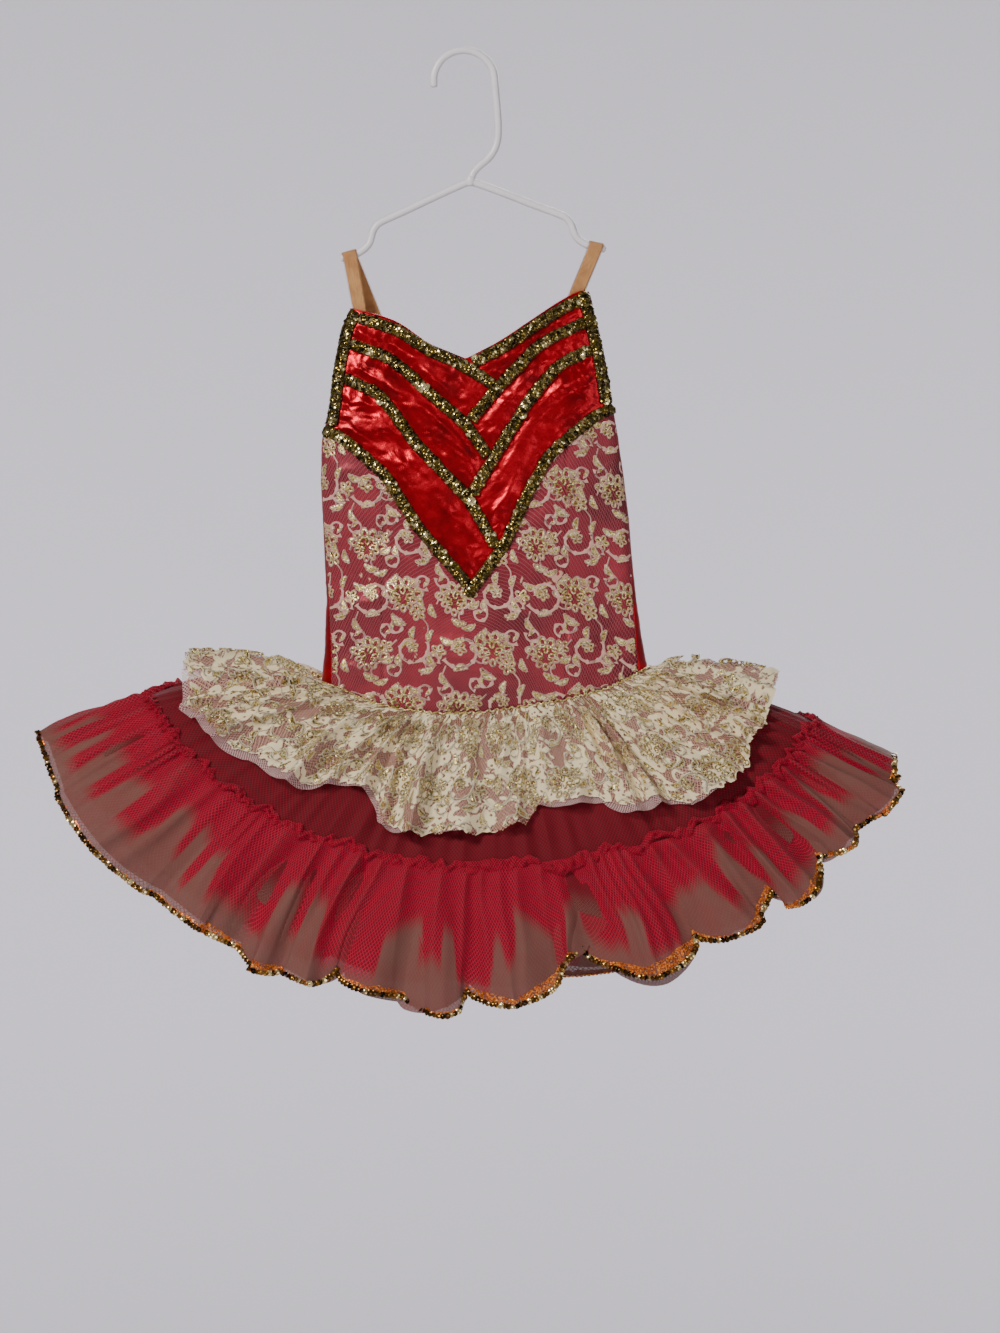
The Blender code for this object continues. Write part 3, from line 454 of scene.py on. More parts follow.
@dataclass(frozen=True)
class BodyForm:
    """The bodice's outer surface, as in the CAD source."""

    round_power: float = 0.7
    probe: float = 2.0

    def value(self, name: str, z: Array) -> Array:
        """Read one column of the sections."""
        rows = np.array(SECTIONS)
        return np.interp(z, rows[:, 0], rows[:, SECTION_FIELDS.index(name)])

    def point(self, turn: Array, z: Array) -> Array:
        """Find points on the surface.

        Args:
            turn: The turns.
            z: The heights.

        Returns:
            The points.
        """
        left, right = self.value("left", z), self.value("right", z)
        sine = np.sin(np.radians(turn))
        depth = np.where(sine < 0.0, self.value("front", z), self.value("back", z))
        x = (left + right) / 2 + (right - left) / 2 * np.cos(np.radians(turn))
        y = depth * np.sign(sine) * np.abs(sine) ** self.round_power
        return np.stack(np.broadcast_arrays(x, y, z), axis=-1)

    def normal(self, turn: Array, z: Array) -> Array:
        """Find the outward normals.

        Args:
            turn: The turns.
            z: The heights.

        Returns:
            The unit normals.
        """
        across = self.point(turn + self.probe, z) - self.point(turn - self.probe, z)
        down = self.point(turn, z - self.probe) - self.point(turn, z + self.probe)
        return unit(np.cross(down, across))

    def turn_of_front(self, x: Array, z: Array) -> Array:
        """Find where the front passes x.

        Args:
            x: The places from left to right.
            z: The heights.

        Returns:
            The turns.
        """
        left, right = self.value("left", z), self.value("right", z)
        share = np.clip((x - (left + right) / 2) / ((right - left) / 2), -0.9999, 0.9999)
        return FULL_TURN - np.degrees(np.arccos(share))

    def side_seam(self, z: Array, side: str) -> Array:
        """Find a side seam.

        Args:
            z: The heights.
            side: left or right.

        Returns:
            The turns of the seam.
        """
        half = (self.value("right", z) - self.value("left", z)) / 2
        swing = np.degrees(np.arccos(1.0 - self.value("inset_" + side, z) / half))
        return 180.0 + swing if side == "left" else FULL_TURN - swing

    def on_front(self, x: Array, z: Array, lift: Array | float) -> Array:
        """Lay points on the front.

        Args:
            x: The places from left to right.
            z: The heights.
            lift: How far to move them out.

        Returns:
            The points.
        """
        turn = self.turn_of_front(x, z)
        lift = np.broadcast_to(lift, np.shape(x))
        return self.point(turn, z) + self.normal(turn, z) * lift[..., None]

    def hip_ring(self, turn: Array) -> Array:
        """Find the seam between bodice and skirt.

        Args:
            turn: The turns.

        Returns:
            The points of the seam.
        """
        hip = Curve(HIP_LINE)
        z = np.full(np.shape(turn), -540.0)
        for _ in range(24):
            z = (z + hip(self.point(turn, z)[..., 0])) / 2
        return self.point(turn, z)


@dataclass(frozen=True)
class SkirtFan:
    """The base surface that the skirt's layers lie on, as in the CAD source."""

    body: BodyForm

    def point(self, turn: Array, reach: Array) -> Array:
        """Find points on the fan.

        Args:
            turn: The turns.
            reach: How far out from the hip seam.

        Returns:
            The points.
        """
        turn, reach = np.broadcast_arrays(turn, reach)
        start = self.body.hip_ring(turn)
        sine = np.sin(np.radians(turn))
        share = (1 + np.cos(np.radians(turn))) / 2
        far = reach / 250.0
        left, right = 172.0 + 20.0 * far, 348.0 - 9.5 * far
        behind = sine > 0.0
        lift_left = np.sin(math.pi * np.clip(share / 0.14, 0.0, 1.0))
        lift_right = np.sin(math.pi * np.clip((1 - share) / 0.14, 0.0, 1.0))
        lift = (14.0 * lift_right - 20.0 * lift_left) * np.cos(far * math.pi / 2)
        lean = np.radians(left + (right - left) * share + np.where(behind, lift, 0.0))
        spread = np.where(behind, 48.0, 64.0) * np.sin(far * math.pi / 2)
        x = start[..., 0] + reach * np.cos(lean)
        y = start[..., 1] + spread * np.sign(sine) * np.abs(sine) ** self.body.round_power
        z = start[..., 2] + reach * np.sin(lean)
        return np.stack([x, y, z], axis=-1)

    def lifted(self, turn: Array, reach: Array, lift: Array) -> Array:
        """Find points lifted off the fan.

        Args:
            turn: The turns.
            reach: How far out from the hip seam.
            lift: How far off the fan.

        Returns:
            The points.
        """
        around = self.point(turn + 2.0, reach) - self.point(turn - 2.0, reach)
        down = self.point(turn, reach + 1.0) - self.point(turn, reach - 1.0)
        normal = unit(np.cross(down, around))
        return self.point(turn, reach) + normal * np.asarray(lift)[..., None]

    def ring(self, turn: Array, reach: Array, lift: Array, dense: Array | float) -> MeshParts:
        """Make a layer of cloth all round.

        Args:
            turn: The turn of each column.
            reach: How far out each point is from the hip seam.
            lift: How far off the fan it is.
            dense: How dense the cloth looks there.

        Returns:
            The mesh's parts.
        """
        points = self.lifted(np.broadcast_to(turn, reach.shape), reach, lift)
        return grid_parts(points, True, np.broadcast_to(dense, reach.shape))


@dataclass(frozen=True)
class FoldSet:
    """Folds around a gathered layer."""

    rows: Rows

    def at(self, turn: Array) -> tuple[Array, Array]:
        """Read the folds.

        Args:
            turn: The turns.

        Returns:
            The folds' depth and the hem's reach at each turn.
        """
        start, valley, crest, depth = np.array(self.rows, dtype=float).T
        wrapped = (np.asarray(turn) - start[0]) % FULL_TURN + start[0]
        index = np.searchsorted(start, wrapped, side="right") - 1
        width = np.diff(np.append(start, start[0] + FULL_TURN))
        share = (wrapped - start[index]) / width[index]
        height = (1 - np.cos(2 * math.pi * share)) / 2
        lobe = np.abs(np.sin(math.pi * share)) ** 0.7
        side = np.where(share < 0.5, valley[index], np.roll(valley, -1)[index])
        return depth[index] * height, side + (crest[index] - side) * lobe

    def columns(self, count: int) -> Array:
        """Spread columns evenly over each fold.

        Args:
            count: Columns a fold.

        Returns:
            The turns, rising from the first fold's start.
        """
        start = np.array(self.rows, dtype=float)[:, 0]
        ends = np.append(start[1:], start[0] + FULL_TURN)
        return (start[:, None] + (ends - start)[:, None] * np.arange(count) / count).ravel()


def show(thing: Object) -> None:
    """Put an object in the scene."""
    bpy.context.scene.collection.objects.link(thing)


class Bench:
    """Adds and joins the nodes of one node tree."""

    def __init__(self, tree: Tree) -> None:
        """Keep the tree."""
        self.tree = tree

    def add(self, kind: str, inputs: dict | None = None, **settings: object) -> Node:
        """Add a node.

        Args:
            kind: Its type.
            inputs: Values or sockets for its inputs, by name or number.
            settings: Its properties.

        Returns:
            The node.
        """
        node = self.tree.nodes.new(kind)
        for name, value in settings.items():
            setattr(node, name, value)
        for name, value in (inputs or {}).items():
            if isinstance(value, Socket):
                self.tree.links.new(value, node.inputs[name])
            else:
                node.inputs[name].default_value = value
        return node

    def math(self, operation: str, *values: object) -> Socket:
        """Add a math node."""
        return self.add("ShaderNodeMath", dict(enumerate(values)), operation=operation).outputs[0]

    def mix(self, share: object, low: object, high: object) -> Socket:
        """Mix two colours."""
        node = self.add("ShaderNodeMix", {0: share, 6: low, 7: high}, data_type="RGBA")
        return node.outputs[2]

    def ramp(self, value: Socket, source: tuple = (0.0, 1.0), target: tuple = (0.0, 1.0)) -> Socket:
        """Map a value from the source range to the target range."""
        inputs = dict(enumerate((value, *source, *target)))
        return self.add("ShaderNodeMapRange", inputs).outputs[0]

    def bump(self, height: Socket, strength: float, distance: float, under: Socket | None = None) -> Socket:
        """Raise a surface by a height, over another bump if there is one."""
        inputs = {"Height": height, "Strength": strength, "Distance": distance}
        return self.add("ShaderNodeBump", inputs | ({"Normal": under} if under else {})).outputs[0]

    def link(self, source: Socket, node: Node, name: str) -> None:
        """Join a socket to a node's named input."""
        self.tree.links.new(source, node.inputs[name])

    def group(self, tree: Tree, inputs: dict) -> bpy.types.NodeOutputs:
        """Add a node group and give its outputs."""
        return self.add("ShaderNodeGroup", node_tree=tree, inputs=inputs).outputs


def colour(red: float, green: float, blue: float) -> Colour:
    """Turn a display colour (0 to 255) into a linear one.

    Args:
        red: The red part.
        green: The green part.
        blue: The blue part.

    Returns:
        The linear colour with full opacity.
    """
    parts = [part / 255.0 for part in (red, green, blue)]
    linear = [p / 12.92 if p <= 0.04045 else ((p + 0.055) / 1.055) ** 2.4 for p in parts]
    return (linear[0], linear[1], linear[2], 1.0)


class Effects:
    """Shader groups that several materials share."""

    cell_shape = 0.62

    def __init__(self) -> None:
        """Make the groups."""
        self.net = self.make_net()
        self.weave = self.make_weave()
        self.glitter = self.make_glitter()
        self.mottle = self.make_mottle()

    @staticmethod
    def open_group(name: str, inputs: Sequence[str], outputs: Sequence[str],
                   ) -> tuple[Bench, dict[str, Socket], Node]:
        """Start a shader group.

        Args:
            name: Its name.
            inputs: Its inputs, all numbers but Vector.
            outputs: Its outputs, all numbers.

        Returns:
            The bench, the input sockets by name and the output node.
        """
        tree = bpy.data.node_groups.new(name, "ShaderNodeTree")
        for way, labels in (("INPUT", inputs), ("OUTPUT", outputs)):
            for label in labels:
                kind = "NodeSocketVector" if label == "Vector" else "NodeSocketFloat"
                tree.interface.new_socket(name=label, in_out=way, socket_type=kind)
        bench = Bench(tree)
        entry = tree.nodes.new("NodeGroupInput")
        return bench, {label: entry.outputs[label] for label in inputs}, tree.nodes.new("NodeGroupOutput")

    def make_net(self) -> Tree:
        """Make a diamond net: threads both ways with open cells.

        Returns:
            The group, with Lines as its output.
        """
        bench, given, exit_node = self.open_group(
            "diamond_net", ("Vector", "Pitch", "Thread"), ("Lines",))
        parts = bench.add("ShaderNodeSeparateXYZ", {0: given["Vector"]}).outputs
        across = bench.math("DIVIDE", parts[0], given["Pitch"])
        along = bench.math("DIVIDE", bench.math("MULTIPLY", parts[1], self.cell_shape), given["Pitch"])
        masks = []
        for operation in ("ADD", "SUBTRACT"):
            phase = bench.math("PINGPONG", bench.math(operation, across, along), 0.5)
            low = bench.math("MULTIPLY", given["Thread"], 0.3)
            ramp = bench.add("ShaderNodeMapRange", {0: phase, 1: low, 2: given["Thread"], 3: 1.0, 4: 0.0},
                             interpolation_type="SMOOTHSTEP")
            masks.append(ramp.outputs[0])
        bench.link(bench.math("MAXIMUM", *masks), exit_node, "Lines")
        return bench.tree

    def make_weave(self) -> Tree:
        """Make a fine weave's height.

        Returns:
            The group, with Height as its output.
        """
        bench, given, exit_node = self.open_group(
            "fine_weave", ("Vector", "Scale"), ("Height",))
        waves = [bench.add("ShaderNodeTexWave", given | {"Distortion": 1.2}, bands_direction=way)
                 for way in ("X", "Y")]
        height = bench.math("MULTIPLY", *(wave.outputs["Fac"] for wave in waves))
        bench.link(height, exit_node, "Height")
        return bench.tree

    def make_glitter(self) -> Tree:
        """Make small flat flakes, each with a random tone, which the finishes turn partly into painted
        glints.

        Returns:
            The group, with Flake and Height as its outputs.
        """
        bench, given, exit_node = self.open_group(
            "glitter_flakes", ("Vector", "Scale"), ("Flake", "Height"))
        cells = bench.add("ShaderNodeTexVoronoi", given)
        parts = bench.add("ShaderNodeSeparateColor", {0: cells.outputs["Color"]}).outputs
        bench.link(parts[0], exit_node, "Flake")
        slope = bench.math("MULTIPLY", cells.outputs["Distance"], parts[1])
        bench.link(slope, exit_node, "Height")
        return bench.tree

    def make_mottle(self) -> Tree:
        """Make soft random patches: dye, handling and wear in most finishes, painted highlight and painted
        shade in the satins.

        Returns:
            The group, with Share as its output.
        """
        bench, given, exit_node = self.open_group("mottle", ("Vector", "Scale"), ("Share",))
        cloud = bench.add("ShaderNodeTexNoise", given | {"Detail": 4.0, "Roughness": 0.6})
        bench.link(bench.ramp(cloud.outputs["Fac"], (0.3, 0.7)), exit_node, "Share")
        return bench.tree


def start_material(name: str, **constants: float) -> tuple[Material, Bench, Node]:
    """Start a material.

    Args:
        name: Its name.
        constants: Values of the surface, with underscores for spaces.

    Returns:
        The material, its bench and its surface node.
    """
    material = bpy.data.materials.new(name)
    material.use_nodes = True
    surface = material.node_tree.nodes["Principled BSDF"]
    for key, value in constants.items():
        surface.inputs[key.replace("_", " ").title().replace("Ior", "IOR")].default_value = value
    return material, Bench(material.node_tree), surface


@dataclass(frozen=True)
class SatinFinish:
    """Shiny crushed satin, with painted highlights and painted shade in random patches.

    Attributes:
        deep: Its painted shade colour, laid in random patches.
        light: Its painted highlight colour, laid in random patches.
        roughness: How wide the highlights are.
        metallic: How much the highlights take its colour.
        cloud: The number of painted highlight and shade patches a metre.
    """

    deep: tuple = colour(138, 0, 16)
    light: tuple = colour(214, 2, 34)
    roughness: float = 0.33
    metallic: float = 0.8
    cloud: float = 42.0

    def make(self, name: str, effects: Effects) -> Material:
        """Make the material.

        Args:
            name: Its name.
            effects: The shared groups.

        Returns:
            The material.
        """
        material, bench, surface = start_material(
            name, roughness=self.roughness, metallic=self.metallic, sheen_weight=0.25,
            sheen_roughness=0.4, anisotropic=0.5, specular_ior_level=0.6)
        where = bench.add("ShaderNodeTexCoord").outputs["Object"]
        # Random patches of painted shade and painted highlight, from the deep and light colours.
        share = bench.group(effects.mottle, {"Vector": where, "Scale": self.cloud})[0]
        bench.link(bench.mix(share, self.deep, self.light), surface, "Base Color")
        threads = bench.group(effects.weave, {"Vector": where, "Scale": 900.0})[0]
        rumple = bench.add("ShaderNodeTexNoise", {"Vector": where, "Scale": 160.0, "Detail": 3.0})
        fine = bench.bump(threads, 0.06, 0.0003)
        bench.link(bench.bump(rumple.outputs["Fac"], 0.32, 0.0014, fine), surface, "Normal")
        return material


@dataclass(frozen=True)
class NetFinish:
    """Net or tulle: threads with open cells between them.

    Attributes:
        thread: The threads' colour where the cloth is dense.
        far: Their colour where it is sheer, by the attribute dense.
        cell: The cells' colour where dense.
        pitch: The cells' size in metres.
        width: The threads' width as a share of half a cell.
        closed: How opaque the cells are where dense.
        opened: How opaque the cells are where sheer.
        fill: The colour of closely worked patches with an eyelet in each.
        fill_scale: The number of such patches a metre, or 0 for none.
        fill_start: How rare they are, from 0 to 1.
    """

    thread: tuple
    far: tuple
    cell: tuple
    pitch: float
    width: float
    closed: float
    opened: float
    fill: tuple = (0.0, 0.0, 0.0, 1.0)
    fill_scale: float = 0.0
    fill_start: float = 1.0

    def make(self, name: str, effects: Effects) -> Material:
        """Make the material.

        Args:
            name: Its name.
            effects: The shared groups.

        Returns:
            The material.
        """
        material, bench, surface = start_material(
            name, roughness=0.75, sheen_weight=0.06, sheen_roughness=0.5, specular_ior_level=0.25)
        flat = bench.add("ShaderNodeUVMap", uv_map="UVMap").outputs[0]
        where = bench.add("ShaderNodeTexCoord").outputs["Object"]
        cells = {"Vector": flat, "Pitch": self.pitch, "Thread": self.width}
        lines = bench.group(effects.net, cells)[0]
        dense = bench.add("ShaderNodeAttribute", attribute_name="dense").outputs["Fac"]
        threads = bench.mix(dense, self.far, self.thread)
        ground = bench.mix(dense, self.far, self.cell)
        share = bench.group(effects.mottle, {"Vector": where, "Scale": 30.0})[0]
        tint = bench.mix(lines, ground, threads)
        shade = bench.mix(bench.math("MULTIPLY", share, 0.25), tint, self.cell)
        gap = bench.ramp(dense, target=(self.opened, self.closed))
        alpha = bench.ramp(lines, target=(gap, 1.0))
        if self.fill_scale:
            worked = self.worked(bench, effects, flat)
            shade = bench.mix(worked, shade, self.fill)
            alpha = bench.math("MAXIMUM", alpha, worked)
            lines = bench.math("MAXIMUM", lines, worked)
        bench.link(shade, surface, "Base Color")
        bench.link(alpha, surface, "Alpha")
        bench.link(bench.bump(lines, 0.4, 0.0004), surface, "Normal")
        return material

    def worked(self, bench: Bench, effects: Effects, flat: Socket) -> Socket:
        """Mark the closely worked patches.

        Args:
            bench: The material's bench.
            effects: The shared groups.
            flat: The flat cloth's coordinates.

        Returns:
            Their mask.
        """
        cells = bench.add("ShaderNodeTexVoronoi", {"Vector": flat, "Scale": self.fill_scale},
                          voronoi_dimensions="2D").outputs["Distance"]
        eyelet = bench.ramp(cells, (0.09, 0.14))
        edge = bench.ramp(cells, (0.56, 0.64), (1.0, 0.0))
        cloud = bench.group(effects.mottle, {"Vector": flat, "Scale": 34.0})[0]
        patch = bench.ramp(cloud, (self.fill_start, self.fill_start + 0.06))
        return bench.math("MULTIPLY", bench.math("MULTIPLY", eyelet, edge), patch)


@dataclass(frozen=True)
class GlitterFinish:
    """Metallic thread or sequin film, with flakes of random tone whose bright end is partly painted glints.

    Attributes:
        dark: The darkest flakes; on the sequins, painted shade.
        middle: The usual flakes.
        bright: The brightest flakes, partly painted glints.
        scale: Flakes a metre.
        roughness: The flakes' roughness.
        metallic: How metallic they are.
        by_piece: Whether each small piece keeps one tone, by the attribute tint, which on the sequins is
            partly painted shade and painted glints.
        cover: The share of the flakes that are there.
    """

    dark: tuple
    middle: tuple
    bright: tuple
    scale: float
    roughness: float
    metallic: float
    by_piece: bool
    cover: float = 1.0

    def make(self, name: str, effects: Effects) -> Material:
        """Make the material.

        Args:
            name: Its name.
            effects: The shared groups.

        Returns:
            The material.
        """
        material, bench, surface = start_material(
            name, roughness=self.roughness, metallic=self.metallic, specular_ior_level=0.6,
            coat_roughness=0.15)
        where = bench.add("ShaderNodeTexCoord").outputs["Object"]
        flakes = bench.group(effects.glitter, {"Vector": where, "Scale": self.scale})
        tone = flakes["Flake"]
        if self.by_piece:
            tone = bench.add("ShaderNodeAttribute", attribute_name="tint").outputs["Fac"]
        ramp = bench.add("ShaderNodeValToRGB", {0: tone})
        ramp.color_ramp.elements[0].color = self.dark
        ramp.color_ramp.elements[1].color = self.bright
        ramp.color_ramp.elements.new(0.55).color = self.middle
        bench.link(ramp.outputs[0], surface, "Base Color")
        if self.cover < 1.0:
            there = bench.math("LESS_THAN", flakes["Flake"], self.cover)
            bench.link(there, surface, "Alpha")
        strength = 0.25 if self.by_piece else 0.9
        bench.link(bench.bump(flakes["Height"], strength, 0.0004), surface, "Normal")
        return material


@dataclass(frozen=True)
class ThreadFinish:
    """Matt thread, cord or knitted elastic.

    Attributes:
        base: Its colour.
        worn: Its colour where it is rubbed.
        scale: Threads a metre.
        bump: How much they show.
    """

    base: tuple
    worn: tuple
    scale: float
    bump: float

    def make(self, name: str, effects: Effects) -> Material:
        """Make the material.

        Args:
            name: Its name.
            effects: The shared groups.

        Returns:
            The material.
        """
        material, bench, surface = start_material(
            name, roughness=0.78, sheen_weight=0.3, sheen_roughness=0.5, specular_ior_level=0.3)
        where = bench.add("ShaderNodeTexCoord").outputs["Object"]
        share = bench.group(effects.mottle, {"Vector": where, "Scale": 90.0})[0]
        bench.link(bench.mix(share, self.base, self.worn), surface, "Base Color")
        height = bench.group(effects.weave, {"Vector": where, "Scale": self.scale})[0]
        bench.link(bench.bump(height, self.bump, 0.0004), surface, "Normal")
        return material


@dataclass(frozen=True)
class PlasticFinish:
    """Glossy moulded plastic."""

    base: tuple = colour(244, 238, 242)
    dull: tuple = colour(222, 214, 220)

    def make(self, name: str, effects: Effects) -> Material:
        """Make the material.

        Args:
            name: Its name.
            effects: The shared groups.

        Returns:
            The material.
        """
        material, bench, surface = start_material(name, roughness=0.3, ior=1.5, coat_roughness=0.1)
        where = bench.add("ShaderNodeTexCoord").outputs["Object"]
        share = bench.group(effects.mottle, {"Vector": where, "Scale": 60.0})[0]
        scuffs = bench.math("MULTIPLY", share, 0.4)
        bench.link(bench.mix(scuffs, self.base, self.dull), surface, "Base Color")
        bench.link(bench.ramp(share, target=(0.24, 0.4)), surface, "Roughness")
        grain = bench.add("ShaderNodeTexNoise", {"Vector": where, "Scale": 500.0})
        bench.link(bench.bump(grain.outputs["Fac"], 0.05, 0.0003), surface, "Normal")
        return material


class Palette:
    """Every material of the costume."""

    def __init__(self) -> None:
        """Make them."""
        effects = Effects()
        self.satin = SatinFinish().make("red_satin", effects)
        # Larger patches of stronger painted highlight and painted shade, for the satin under the lace.
        self.veiled_satin = SatinFinish(
            deep=colour(112, 0, 22), light=colour(255, 50, 80), roughness=0.36, metallic=0.35,
            cloud=17.0).make("veiled_satin", effects)
        # The lace ground's dark cells, 38 percent opaque, stand partly for the fine net and partly for
        # painted shade laid over the satin between its highlights.
        self.veil = NetFinish(
            thread=colour(186, 100, 106), far=colour(186, 100, 106), cell=colour(66, 2, 16),
            pitch=0.0026, width=0.12, closed=0.38, opened=0.38,
            fill=colour(206, 156, 132), fill_scale=96.0, fill_start=0.88).make("lace_ground", effects)
        self.lace_net = NetFinish(
            thread=colour(214, 172, 142), far=colour(214, 172, 142), cell=colour(160, 92, 84),
            pitch=0.0024, width=0.16, closed=0.2, opened=0.2,
            fill=colour(240, 222, 180), fill_scale=96.0, fill_start=0.4).make("overskirt_net", effects)
        self.lining = NetFinish(
            thread=colour(222, 186, 180), far=colour(222, 186, 180), cell=colour(206, 160, 158),
            pitch=0.0016, width=0.18, closed=0.16, opened=0.16).make("pale_net", effects)
        self.tulle = NetFinish(
            thread=colour(136, 0, 28), far=colour(116, 70, 62), cell=colour(84, 0, 12),
            pitch=0.0022, width=0.16, closed=1.0, opened=0.6).make("red_tulle", effects)
        self.sheer = NetFinish(
            thread=colour(190, 8, 54), far=colour(120, 80, 70), cell=colour(128, 0, 28),
            pitch=0.0026, width=0.15, closed=0.74, opened=0.88).make("sheer_tulle", effects)
        self.ruche = NetFinish(
            thread=colour(184, 4, 48), far=colour(184, 4, 48), cell=colour(124, 0, 26),
            pitch=0.0024, width=0.17, closed=0.7, opened=0.7).make("ruched_tulle", effects)
        self.cord = ThreadFinish(colour(240, 190, 176), colour(224, 164, 146), 1300.0, 0.7).make(
            "pink_cord", effects)
        self.cream = ThreadFinish(colour(250, 236, 204), colour(232, 208, 160), 1300.0, 0.7).make(
            "cream_cord", effects)
        self.gold = GlitterFinish(colour(134, 108, 46), colour(220, 192, 112), colour(255, 248, 206),
                                  1000.0, 0.34, 0.7, False).make("gold_glitter", effects)
        self.braid = GlitterFinish(colour(24, 20, 8), colour(74, 60, 26), colour(150, 128, 70),
                                   900.0, 0.5, 0.4, False).make("braid", effects)
        # For both sequin finishes, the dark end is painted shade and the bright end painted glints, picked
        # per sequin by tint.
        self.sequin = GlitterFinish(colour(26, 20, 6), colour(134, 110, 44), colour(255, 236, 172),
                                    400.0, 0.2, 0.85, True).make("sequins", effects)
        self.hem_sequin = GlitterFinish(colour(20, 12, 6), colour(150, 104, 40), colour(255, 232, 170),
                                        400.0, 0.22, 0.85, True).make("hem_sequins", effects)
        self.overlock = GlitterFinish(colour(120, 40, 8), colour(206, 104, 30), colour(250, 190, 90),
                                      1300.0, 0.45, 0.45, False).make("orange_gold_thread", effects)
        self.band = GlitterFinish(colour(146, 54, 10), colour(228, 118, 34), colour(255, 212, 110),
                                  900.0, 0.36, 0.6, False, 0.72).make("hem_glitter", effects)
        self.elastic = ThreadFinish(colour(206, 150, 94), colour(184, 128, 78), 1100.0, 0.6).make(
            "tan_elastic", effects)
        self.stitch = ThreadFinish(colour(110, 72, 44), colour(92, 58, 36), 1500.0, 0.3).make(
            "brown_thread", effects)
        self.red_thread = ThreadFinish(colour(150, 4, 20), colour(120, 2, 14), 1500.0, 0.3).make(
            "red_thread", effects)
        self.plastic = PlasticFinish().make("white_plastic", effects)


@dataclass
class MeshParts:
    """Points, faces and per-point or per-corner data of a mesh being made.

    Attributes:
        points: The points, in millimetres.
        faces: The faces' point numbers.
        corners: Where each face corner lies on the flat cloth, in metres.
        dense: A value for each point, if any.
    """

    points: Array
    faces: Array
    corners: Array | None = None
    dense: Array | None = None

    def build(self, name: str, material: Material, slot: Slot) -> Object:
        """Make the object.

        Args:
            name: Its name.
            material: Its material.
            slot: Not used.

        Returns:
            The object, riding on the root.
        """
        mesh = bpy.data.meshes.new(name)
        mesh.from_pydata((self.points.reshape(-1, 3) * MM).tolist(), [], self.faces.tolist())
        if self.corners is not None:
            mesh.uv_layers.new(name="UVMap").data.foreach_set("uv", self.corners.ravel())
        if self.dense is not None:
            layer = mesh.attributes.new("dense", "FLOAT", "POINT")
            layer.data.foreach_set("value", np.ascontiguousarray(self.dense, dtype=np.float32).ravel())
        mesh.materials.append(material)
        mesh.polygons.foreach_set("use_smooth", np.ones(len(mesh.polygons), dtype=bool))
        mesh.update()
        return place(bpy.data.objects.new(name, mesh))


def place(piece: Object) -> Object:
    """Put a piece in the scene and let it ride on the root.

    Args:
        piece: The object.

    Returns:
        The same object.
    """
    if piece.name not in bpy.context.scene.collection.objects:
        show(piece)
    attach(piece, "root")
    return piece


def quads(rows: int, across: int, columns: int) -> tuple[Array, Array, Array]:
    """Join rows of points into faces.

    Args:
        rows: Rows of faces.
        across: Faces a row.
        columns: Points a row.

    Returns:
        Each face's row, its column and its corners' point numbers.
    """
    row, col = (part.ravel() for part in np.meshgrid(np.arange(rows), np.arange(across), indexing="ij"))
    after = (col + 1) % columns
    faces = np.stack([row * columns + col, (row + 1) * columns + col,
                      (row + 1) * columns + after, row * columns + after], axis=1)
    return row, col, faces


def grid_parts(points: Array, ring: bool, dense: Array | None = None) -> MeshParts:
    """Join a grid of points into faces, with rows going down and columns round.

    Args:
        points: The grid, rows by columns.
        ring: Whether the last column joins the first.
        dense: A value for each point, if any.

    Returns:
        The mesh's parts, with the flat cloth's coordinates on its corners.
    """
    rows, columns = points.shape[:2]
    across = columns if ring else columns - 1
    row, col, faces = quads(rows - 1, across, columns)
    closed = np.concatenate([points, points[:, :1]], axis=1) if ring else points
    middle = closed[rows // 2]
    round_way = path_lengths(middle) * MM
    down_way = np.concatenate([np.zeros((1, closed.shape[1])), np.cumsum(
        np.linalg.norm(np.diff(closed, axis=0), axis=2), axis=0)]).mean(axis=1) * MM
    corners = np.stack([
        np.stack([round_way[col], down_way[row]], axis=1),
        np.stack([round_way[col], down_way[row + 1]], axis=1),
        np.stack([round_way[col + 1], down_way[row + 1]], axis=1),
        np.stack([round_way[col + 1], down_way[row]], axis=1)], axis=1)
    return MeshParts(points, faces, corners, dense)


def thicken(piece: Object, thickness: float) -> None:
    """Give a cloth shell its thickness, inward.

    Args:
        piece: The shell.
        thickness: In millimetres.
    """
    wall = piece.modifiers.new("thickness", "SOLIDIFY")
    wall.thickness = thickness * MM
    wall.offset = -1.0


def tube_parts(path: Array, radius: float | Array, sides: int) -> MeshParts:
    """Make a round tube along a path, closed at both ends.

    Args:
        path: The middle line.
        radius: The radius, one or one for each point.
        sides: The number of sides.

    Returns:
        The mesh's parts.
    """
    along = unit(np.gradient(path, axis=0))
    side = unit(np.cross(along, TUBE_SIDE))
    other = np.cross(side, along)
    angle = np.arange(sides) * 2 * math.pi / sides
    size = np.broadcast_to(radius, (len(path),))[:, None, None]
    rings = path[:, None] + size * (side[:, None] * np.cos(angle)[None, :, None]
                                    + other[:, None] * np.sin(angle)[None, :, None])
    rings = np.concatenate([np.repeat(path[:1, None], sides, axis=1), rings,
                            np.repeat(path[-1:, None], sides, axis=1)])
    return MeshParts(rings.reshape(-1, 3), quads(len(rings) - 1, sides, sides)[2])


def join_parts(parts: Sequence[MeshParts]) -> MeshParts:
    """Join several meshes with faces of the same kind."""
    shift = np.cumsum([0] + [len(part.points) for part in parts[:-1]])
    return MeshParts(np.concatenate([part.points for part in parts]),
                     np.concatenate([part.faces + start for part, start in zip(parts, shift)]))


@dataclass
class Sites:
    """Where small things go.

    Attributes:
        points: The places, in millimetres.
        out: The direction that each thing faces.
        along: The direction that it points.
        size: Its scale.
        tint: Its tone, from 0 to 1; on the sequins partly painted shade and painted glints.
    """

    points: Array
    out: Array
    along: Array
    size: Array
    tint: Array

    @classmethod
    def alike(cls, points: Array, out: Array, along: Array) -> Sites:
        """Give sites of one size and tone."""
        return cls(points, out, along, np.ones(len(points)), np.full(len(points), 0.5))


